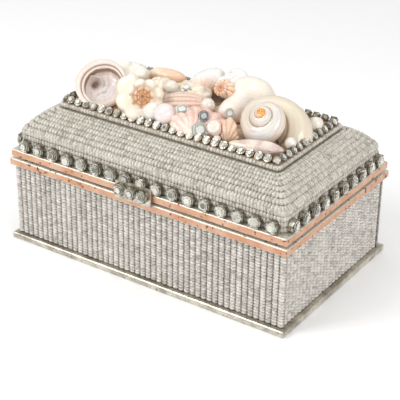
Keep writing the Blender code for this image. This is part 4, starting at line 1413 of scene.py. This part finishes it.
@dataclass
class EarShell:
    """The open cup shell: a bowl with a thick rim rolled twice, wavy inside, with a pocket in it.

    The bowl is modelled in unit size. Each pair of the profile is a ring's radius and level.
    """

    node: str = "shell_abalone"
    facing: tuple[float, float, float] = (0.28, -0.50, 0.82)
    half: tuple[float, float] = (15.6 * MM, 17.1 * MM)
    depth: float = 8.8 * MM
    sides: int = 56
    profile: tuple[tuple[float, float], ...] = (
        (0.45, -1.00), (0.72, -0.86), (0.90, -0.56), (1.00, -0.22), (1.04, 0.00), (1.03, 0.10), (0.98, 0.18),
        (0.92, 0.18), (0.87, 0.11), (0.85, 0.04), (0.83, 0.06), (0.79, 0.09), (0.75, 0.04), (0.735, -0.06),
        (0.745, -0.24), (0.72, -0.42), (0.64, -0.54), (0.50, -0.62), (0.32, -0.66), (0.14, -0.67),
    )
    pocket: tuple[float, float] = (-0.34, 0.26)
    pocket_radius: float = 0.17
    pocket_depth: float = 0.20
    crescent_radius: float = 0.27
    crescent_width: float = 0.05
    crescent_height: float = 0.34
    opening_shift: tuple[float, float] = (0.08, -0.09)
    # Radii of the painted shade lines in the grooves under the brim.
    furrows: tuple[float, float] = (0.85, 0.74)
    furrow_width: float = 0.02
    floor_wall: float = 0.9 * MM

    def build(self) -> None:
        """Extrude the rings of the bowl, close it, carve the inside and hand it in."""
        bowl = primitive(bpy.ops.mesh.primitive_circle_add, vertices=self.sides, radius=1.0, fill_type="NGON",
                         location=(0.0, 0.0, self.profile[0][1]))
        settle()
        bowl.name = "ear_shell"
        middle = (0.0, 0.0, 0.0)
        width, height = self.profile[0]
        bpy.ops.object.mode_set(mode="EDIT")
        bpy.ops.mesh.select_all(action="SELECT")
        bpy.ops.transform.resize(value=(width, width, 1.0), center_override=middle)
        for wider, higher in self.profile[1:]:
            bpy.ops.mesh.extrude_region_move(TRANSFORM_OT_translate={"value": (0.0, 0.0, higher - height)})
            bpy.ops.transform.resize(value=(wider / width, wider / width, 1.0), center_override=middle)
            width, height = wider, higher
        bpy.ops.mesh.poke()
        bpy.ops.object.mode_set(mode="OBJECT")
        apply_modifier(bowl, "SUBSURF", levels=2)
        points = coordinates(bowl)
        radius = np.hypot(points[:, 0], points[:, 1])
        inside = step_up(points[:, 2], -0.72, -0.66) * step_up(0.80 - radius, 0.0, 0.06)
        inside *= np.where(points[:, 2] > -0.70, 1.0, 0.0)
        gap = np.hypot(points[:, 0] - self.pocket[0], points[:, 1] - self.pocket[1])
        hollow = np.exp(-(gap / self.pocket_radius) ** 2)
        arc = np.exp(-((gap - self.crescent_radius) / self.crescent_width) ** 2)
        arc *= step_up(points[:, 1] + points[:, 0] * 0.6, 0.02, 0.22)
        waves = wave(points, 180.0) * 0.10 + 0.035 * np.cos(16 * gap + 4 * wave(points, 400.0))
        points[:, 2] += inside * (waves - self.pocket_depth * hollow + self.crescent_height * arc)
        inward = (1 - step_up(radius, 0.78, 1.0)) * step_up(points[:, 2], -0.95, -0.6)
        points[:, :2] += inward[:, None] * np.array(self.opening_shift)
        edge = 1 + 0.03 * wave(points, 700.0)
        points = points * np.array((*self.half, self.depth)) * edge[:, None]
        rows = np.array(axes_matrix(ACROSS, self.facing, within(self.node, 0.5, 0.5, 0.49)), float)
        points = points @ rows[:3, :3].T + rows[:3, 3]
        points[:, 2] = np.maximum(points[:, 2], TIER_TOP + GAP + self.floor_wall * inside)
        reshape(bowl, points)
        note(bowl, "growth", np.clip(radius, 0, 1))
        # Painted shade: a dark pocket and brown lines in the grooves under the brim.
        groove = sum(np.exp(-((radius - furrow) / self.furrow_width) ** 2) for furrow in self.furrows)
        groove *= step_up(points[:, 2], TIER_TOP, TIER_TOP + 8 * MM)
        note(bowl, "crease_shade", np.clip(1.4 * hollow * inside + groove, 0, 1))
        bpy.ops.object.shade_smooth()
        hand_in(bowl, Body.LID, EAR, "pink_shell", self.node)


@dataclass
class Pearl:
    """One pearl, round or a little uneven."""

    node: str
    uneven: float = 0.0
    finish: Finish | None = None
    fuller: float = 1.0
    shift_mm: tuple[float, float, float] = (0.0, 0.0, 0.0)

    def build(self) -> None:
        """Turn a fine sphere to the size of the solid and hand it in."""
        low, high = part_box(self.node)
        radius = max(high - low) / 2 * self.fuller
        middle = (low + high) / 2 + Vector(self.shift_mm) * MM
        middle.z = max(middle.z, TIER_TOP + GAP + radius)
        pearl = primitive(bpy.ops.mesh.primitive_uv_sphere_add, segments=40, ring_count=24, radius=1.0)
        pearl.name = self.node.replace("pearl_", "") + "_pearl"
        pearl.scale = (radius, radius, radius)
        pearl.location = middle
        settle()
        if self.uneven:
            raise_along_normals(pearl, self.uneven * wave(coordinates(pearl), radius * 900))
        bpy.ops.object.shade_smooth()
        hand_in(pearl, Body.LID, self.finish or PEARL, "pearl", self.node)


@dataclass
class ClusterStone:
    """A cut stone between the shells, glued flat with its foil behind it."""

    node: str
    facing: tuple[float, float, float]
    finish: Finish
    foil: Finish
    slot: str = "crystal"
    proud_mm: float = 0.8

    def build(self) -> None:
        """Measure the solid in the stone's own directions and set stone and foil there."""
        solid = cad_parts[self.node]
        rows = axes_matrix(ACROSS, self.facing, Vector()).to_3x3()
        local = coordinates(solid) @ np.array(rows)
        low, high = local.min(axis=0), local.max(axis=0)
        half, middle = (high - low) / 2, rows @ Vector((low + high) / 2)
        middle += Vector(self.facing).normalized() * self.proud_mm * MM
        name = self.node.replace("gem_", "") + "_gem"
        place = axes_matrix(self.facing, rows.col[0], middle)
        size = Matrix.Diagonal((half[1] * 0.9, half[1], half[0], 1.0))
        # Stone and foil get a tint on each facet that strays at random: painted reflections.
        stone = stamp(name, brilliant(), [place @ size], [0.7], 0.6)
        hand_in(stone, Body.LID, self.finish, self.slot, self.node)
        foil = stamp(name + "_foil", mirror_foil(), [place @ size], [0.6], 0.6)
        hand_in(foil, Body.LID, self.foil, "nickel", self.node)


@dataclass
class ShellCluster:
    """Shells, pearls and stones that are glued on the lid's tier."""

    def build(self) -> None:
        """Make the large shells first, then the small pieces between them."""
        for shell in (*self.coiled(), *self.formed()):
            shell.build()
        EarShell().build()
        for node in ("pearl_back", "pearl_middle", "pearl_centre", "pearl_small"):
            Pearl(node, fuller=1.08).build()
        Pearl("pearl_front_left", fuller=1.12, shift_mm=(0.2, -0.6, 0.0)).build()
        # The front right pearl carries the painted pink reflection.
        Pearl("pearl_front_right", finish=PINK_REFLECTION_PEARL, fuller=1.12, shift_mm=(-1.4, -1.6, 0.0)).build()
        Pearl("pearl_ringed", uneven=0.4 * MM, finish=PEACH_PEARL).build()
        self.ring_on_pearl()
        Pearl("pearl_baroque_front", uneven=0.5 * MM).build()
        Pearl("pearl_baroque_right", uneven=0.7 * MM).build()
        ClusterStone("gem_disc", TOWARD, PALE_CRYSTAL, PALE_FOIL).build()
        ClusterStone("gem_dark", TOWARD, SMOKE, FOIL, "dark_gem").build()
        ClusterStone("gem_navette", (0.35, -0.70, 0.62), PALE_CRYSTAL, PALE_FOIL).build()
        ClusterStone("gem_round", (0.2, -0.5, 0.84), PALE_CRYSTAL, FOIL).build()
        ClusterStone("gem_small", TOWARD, PALE_CRYSTAL, PALE_FOIL).build()

    def ring_on_pearl(self) -> None:
        """Set a milky ring with a dark stone in it on the front of the peach pearl."""
        low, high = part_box("pearl_ringed")
        facing = Vector((0.20, -0.72, 0.66)).normalized()
        spot = (low + high) / 2 + facing * (high.x - low.x) * 0.32
        place = axes_matrix(facing, facing.orthogonal(), spot) @ Matrix.Rotation(math.pi / 2, 4, "Y")
        ring = primitive(bpy.ops.mesh.primitive_torus_add, major_segments=40, minor_segments=14,
                         major_radius=2.7 * MM, minor_radius=1.25 * MM)
        bpy.ops.object.shade_smooth()
        ring.name = "milky_ring_pattern"
        hand_in(stamp("milky_ring", ring, [place], [0.8]), Body.LID, MILKY_RING, "pearl", "pearl_ringed")
        inner = place @ Matrix.Rotation(-math.pi / 2, 4, "Y") @ Matrix.Scale(1.5 * MM, 4)
        # The ring's stone gets a random tint on each facet: painted reflections.
        stone = stamp("ring_stone", brilliant(), [inner], [0.4], spread=0.5)
        hand_in(stone, Body.LID, SMOKE, "dark_gem", "pearl_ringed")

    def coiled(self) -> list[CoiledShell]:
        """List the shells that show their spire."""
        return [
            CoiledShell("shell_turban", "nacre", TURBAN, within("shell_turban", 0.49, 0.05, 1.0),
                        spire=(0.037, -1.0, 1.067), side=(1.0, 1.2, -0.676), reach=11.9 * MM, tube=12.7 * MM,
                        drop=25.0 * MM, growth=2.1, flare=-0.10, sink=6.2 * MM, overrun=0.18,
                        seam_width=0.07, valleys=0.0, turns=4.5, sides=48, steps_per_turn=56,
                        relief=spiral_ridges(9, 0.005)),
            CoiledShell("shell_ruffled", "white_shell", RUFFLED,
                        within("shell_ruffled", 0.66, 0.02, 0.62) + Vector((3.0, 2.0, 0.5)) * MM,
                        spire=TOWARD, side=(-0.20, -0.14, 1.0), reach=10.4 * MM, tube=6.0 * MM,
                        drop=8.0 * MM, growth=1.72, rounded=0.09, turns=5.0, sides=32, steps_per_turn=72,
                        relief=petals(8, 0.42)),
            CoiledShell("shell_nodular", "pink_shell", NODULAR,
                        within("shell_nodular", 0.36, 0.02, 0.82) + Vector((4.2, 2.8, 1.0)) * MM,
                        spire=(0.09, -1.02, 0.85), side=(0.63, -0.07, -0.78), reach=3.9 * MM, tube=3.6 * MM,
                        drop=7.0 * MM, growth=1.9, rounded=0.12, turns=4.0, sides=32, steps_per_turn=80,
                        relief=petals(12, 0.34, width=1.2, lean=0.6)),
            CoiledShell("shell_moon", "white_shell", MOON, within("shell_moon", 0.38, 0.22, 0.95),
                        spire=(-0.10, -0.45, 0.89), side=(-1.0, 0.2, 0.0), reach=5.4 * MM, tube=9.3 * MM,
                        drop=12.5 * MM, growth=2.2, valleys=0.0, rounded=0.1, turns=3.5, sides=36,
                        steps_per_turn=48),
        ]

    def formed(self) -> list[FormedShell]:
        """List the shells whose solids already have their form."""
        return [
            FormedShell("shell_leaf", "cream_shell", LEAF, (0.90, 0.40, 0.10), ribs=13.0,
                        rib_depth=0.35 * MM, swell=0.9 * MM, grow=(1.12, 1.12, 1.12),
                        shift_mm=(0.0, -0.8, -0.4)),
            FormedShell("shell_scallop_pink", "pink_shell", SALMON, (0.2, 0.9, 0.3), ribs=26.0,
                        rib_depth=0.35 * MM, hinge=(0.55, 0.0, 0.1), lumps_mm=2.5, lump_depth=0.5 * MM,
                        swell=0.8 * MM, grow=(1.25, 1.12, 1.12), shift_mm=(-1.2, -0.8, 0.0)),
            FormedShell("shell_scallop_peach", "pink_shell", PEACH, (-0.3, 0.2, 0.9), ribs=22.0,
                        rib_depth=0.30 * MM, hinge=(0.6, 0.0, 0.0)),
            FormedShell("shell_mussel", "nacre", MUSSEL, (0.83, 0.10, 0.0), ribs=5.0, rib_depth=0.15 * MM,
                        grow=(1.65, 0.9, 0.9), shift_mm=(-0.5, -0.6, 0.0)),
            FormedShell("shell_half", "cream_shell", HALF, (-0.5, 0.9, 0.6), ribs=16.0, rib_depth=0.12 * MM,
                        grow=(1.16, 1.3, 1.1), shift_mm=(1.5, -4.0, 0.0)),
            FormedShell("shell_olive", "pink_shell", OLIVE, (-1.0, -0.12, 0.0), grow=(1.12, 1.12, 1.1)),
            FormedShell("shell_cream", "cream_shell", CREAM, (0.3, 0.9, 0.2), lumps_mm=9.0,
                        lump_depth=0.8 * MM, swell=1.4 * MM, grow=(1.08, 1.0, 1.0),
                        shift_mm=(-1.2, -0.6, 0.0)),
            FormedShell("shell_cone_left", "cream_shell", CONE, (0.9, 0.2, 0.2), ribs=9.0,
                        rib_depth=0.4 * MM, lumps_mm=5.0, lump_depth=0.8 * MM, swell=1.2 * MM),
            FormedShell("shell_cone_right", "cream_shell", CONE, (0.7, -0.5, 0.1), ribs=9.0,
                        rib_depth=0.4 * MM, lumps_mm=5.0, lump_depth=0.8 * MM, swell=1.2 * MM,
                        grow=(1.35, 1.1, 1.0), shift_mm=(2.5, -1.0, 0.0)),
            FormedShell("shell_knobbed", "white_shell", IVORY, (0.0, 0.0, 1.0), lumps_mm=6.0,
                        lump_depth=1.6 * MM),
        ]


@dataclass
class Studio:
    """Pale floor, soft light and the camera at the photo's angle."""

    focal_px: float = 1240.4
    frame_px: float = 400.0
    sensor_mm: float = 36.0
    azimuth: float = math.radians(34.019)
    elevation: float = math.radians(27.652)
    roll: float = math.radians(0.72)
    distance: float = 0.791
    aim: tuple[float, float] = (0.00138, 0.02732)

    def build(self) -> None:
        """Make floor, lights, world and camera."""
        floor = primitive(bpy.ops.mesh.primitive_plane_add, size=6.0, location=(0.0, 0.0, -0.0002))
        floor.name = "floor"
        floor.data.materials.append(Mottled("white_floor", 0.7, first="#FFFFFF", second="#FFFFFF").material())
        settle()
        self.light()
        self.camera()

    def light(self) -> None:
        """Hang the soft boxes and set an even white world."""
        world = bpy.data.worlds.new("studio_world")
        world.use_nodes = True
        world.node_tree.nodes["Background"].inputs["Color"].default_value = (1.0, 1.0, 1.0, 1.0)
        world.node_tree.nodes["Background"].inputs["Strength"].default_value = 0.58
        bpy.context.scene.world = world
        for name, place, size, power in (
            ("key_light", (-0.55, -0.75, 0.85), 0.5, 6.8),
            ("fill_light", (0.95, -0.35, 0.50), 0.6, 4.0),
            ("top_light", (0.0, 0.15, 1.1), 0.8, 2.5),
        ):
            data = bpy.data.lights.new(name, "AREA")
            data.energy = power
            data.size = size
            lamp = add_to_scene(name, data)
            lamp.location = place
            aim = Vector((0.0, 0.0, 0.05)) - Vector(place)
            lamp.rotation_euler = aim.to_track_quat("-Z", "Y").to_euler()
        bpy.context.scene.view_settings.view_transform = "Standard"

    def camera(self) -> None:
        """Stand the camera where the photo was taken from."""
        back = Vector((math.sin(self.azimuth) * math.cos(self.elevation),
                       -math.cos(self.azimuth) * math.cos(self.elevation), math.sin(self.elevation)))
        right = (-back).cross(Vector((0.0, 0.0, 1.0))).normalized()
        above = right.cross(-back)
        spot = back * self.distance + right * self.aim[0] + above * self.aim[1]
        along = right * math.cos(self.roll) + above * math.sin(self.roll)
        upward = above * math.cos(self.roll) - right * math.sin(self.roll)
        data = bpy.data.cameras.new("photo_camera")
        data.sensor_width = self.sensor_mm
        data.lens = self.focal_px * self.sensor_mm / self.frame_px
        view = add_to_scene("photo_camera", data)
        view.matrix_world = Matrix.Translation(spot) @ Matrix((along, upward, back)).transposed().to_4x4()
        bpy.context.scene.camera = view


def main() -> None:
    """Build every sub-assembly in order and note the sizes."""
    logging.basicConfig(level=logging.INFO, format="%(name)s: %(message)s")
    for part in (Frames(), BeadWalls(), LidBeads(), LedgeStones(), StoneChain(), Clasp(),
                 ShellCluster(), Studio()):
        part.build()


if __name__ == "__main__":
    main()
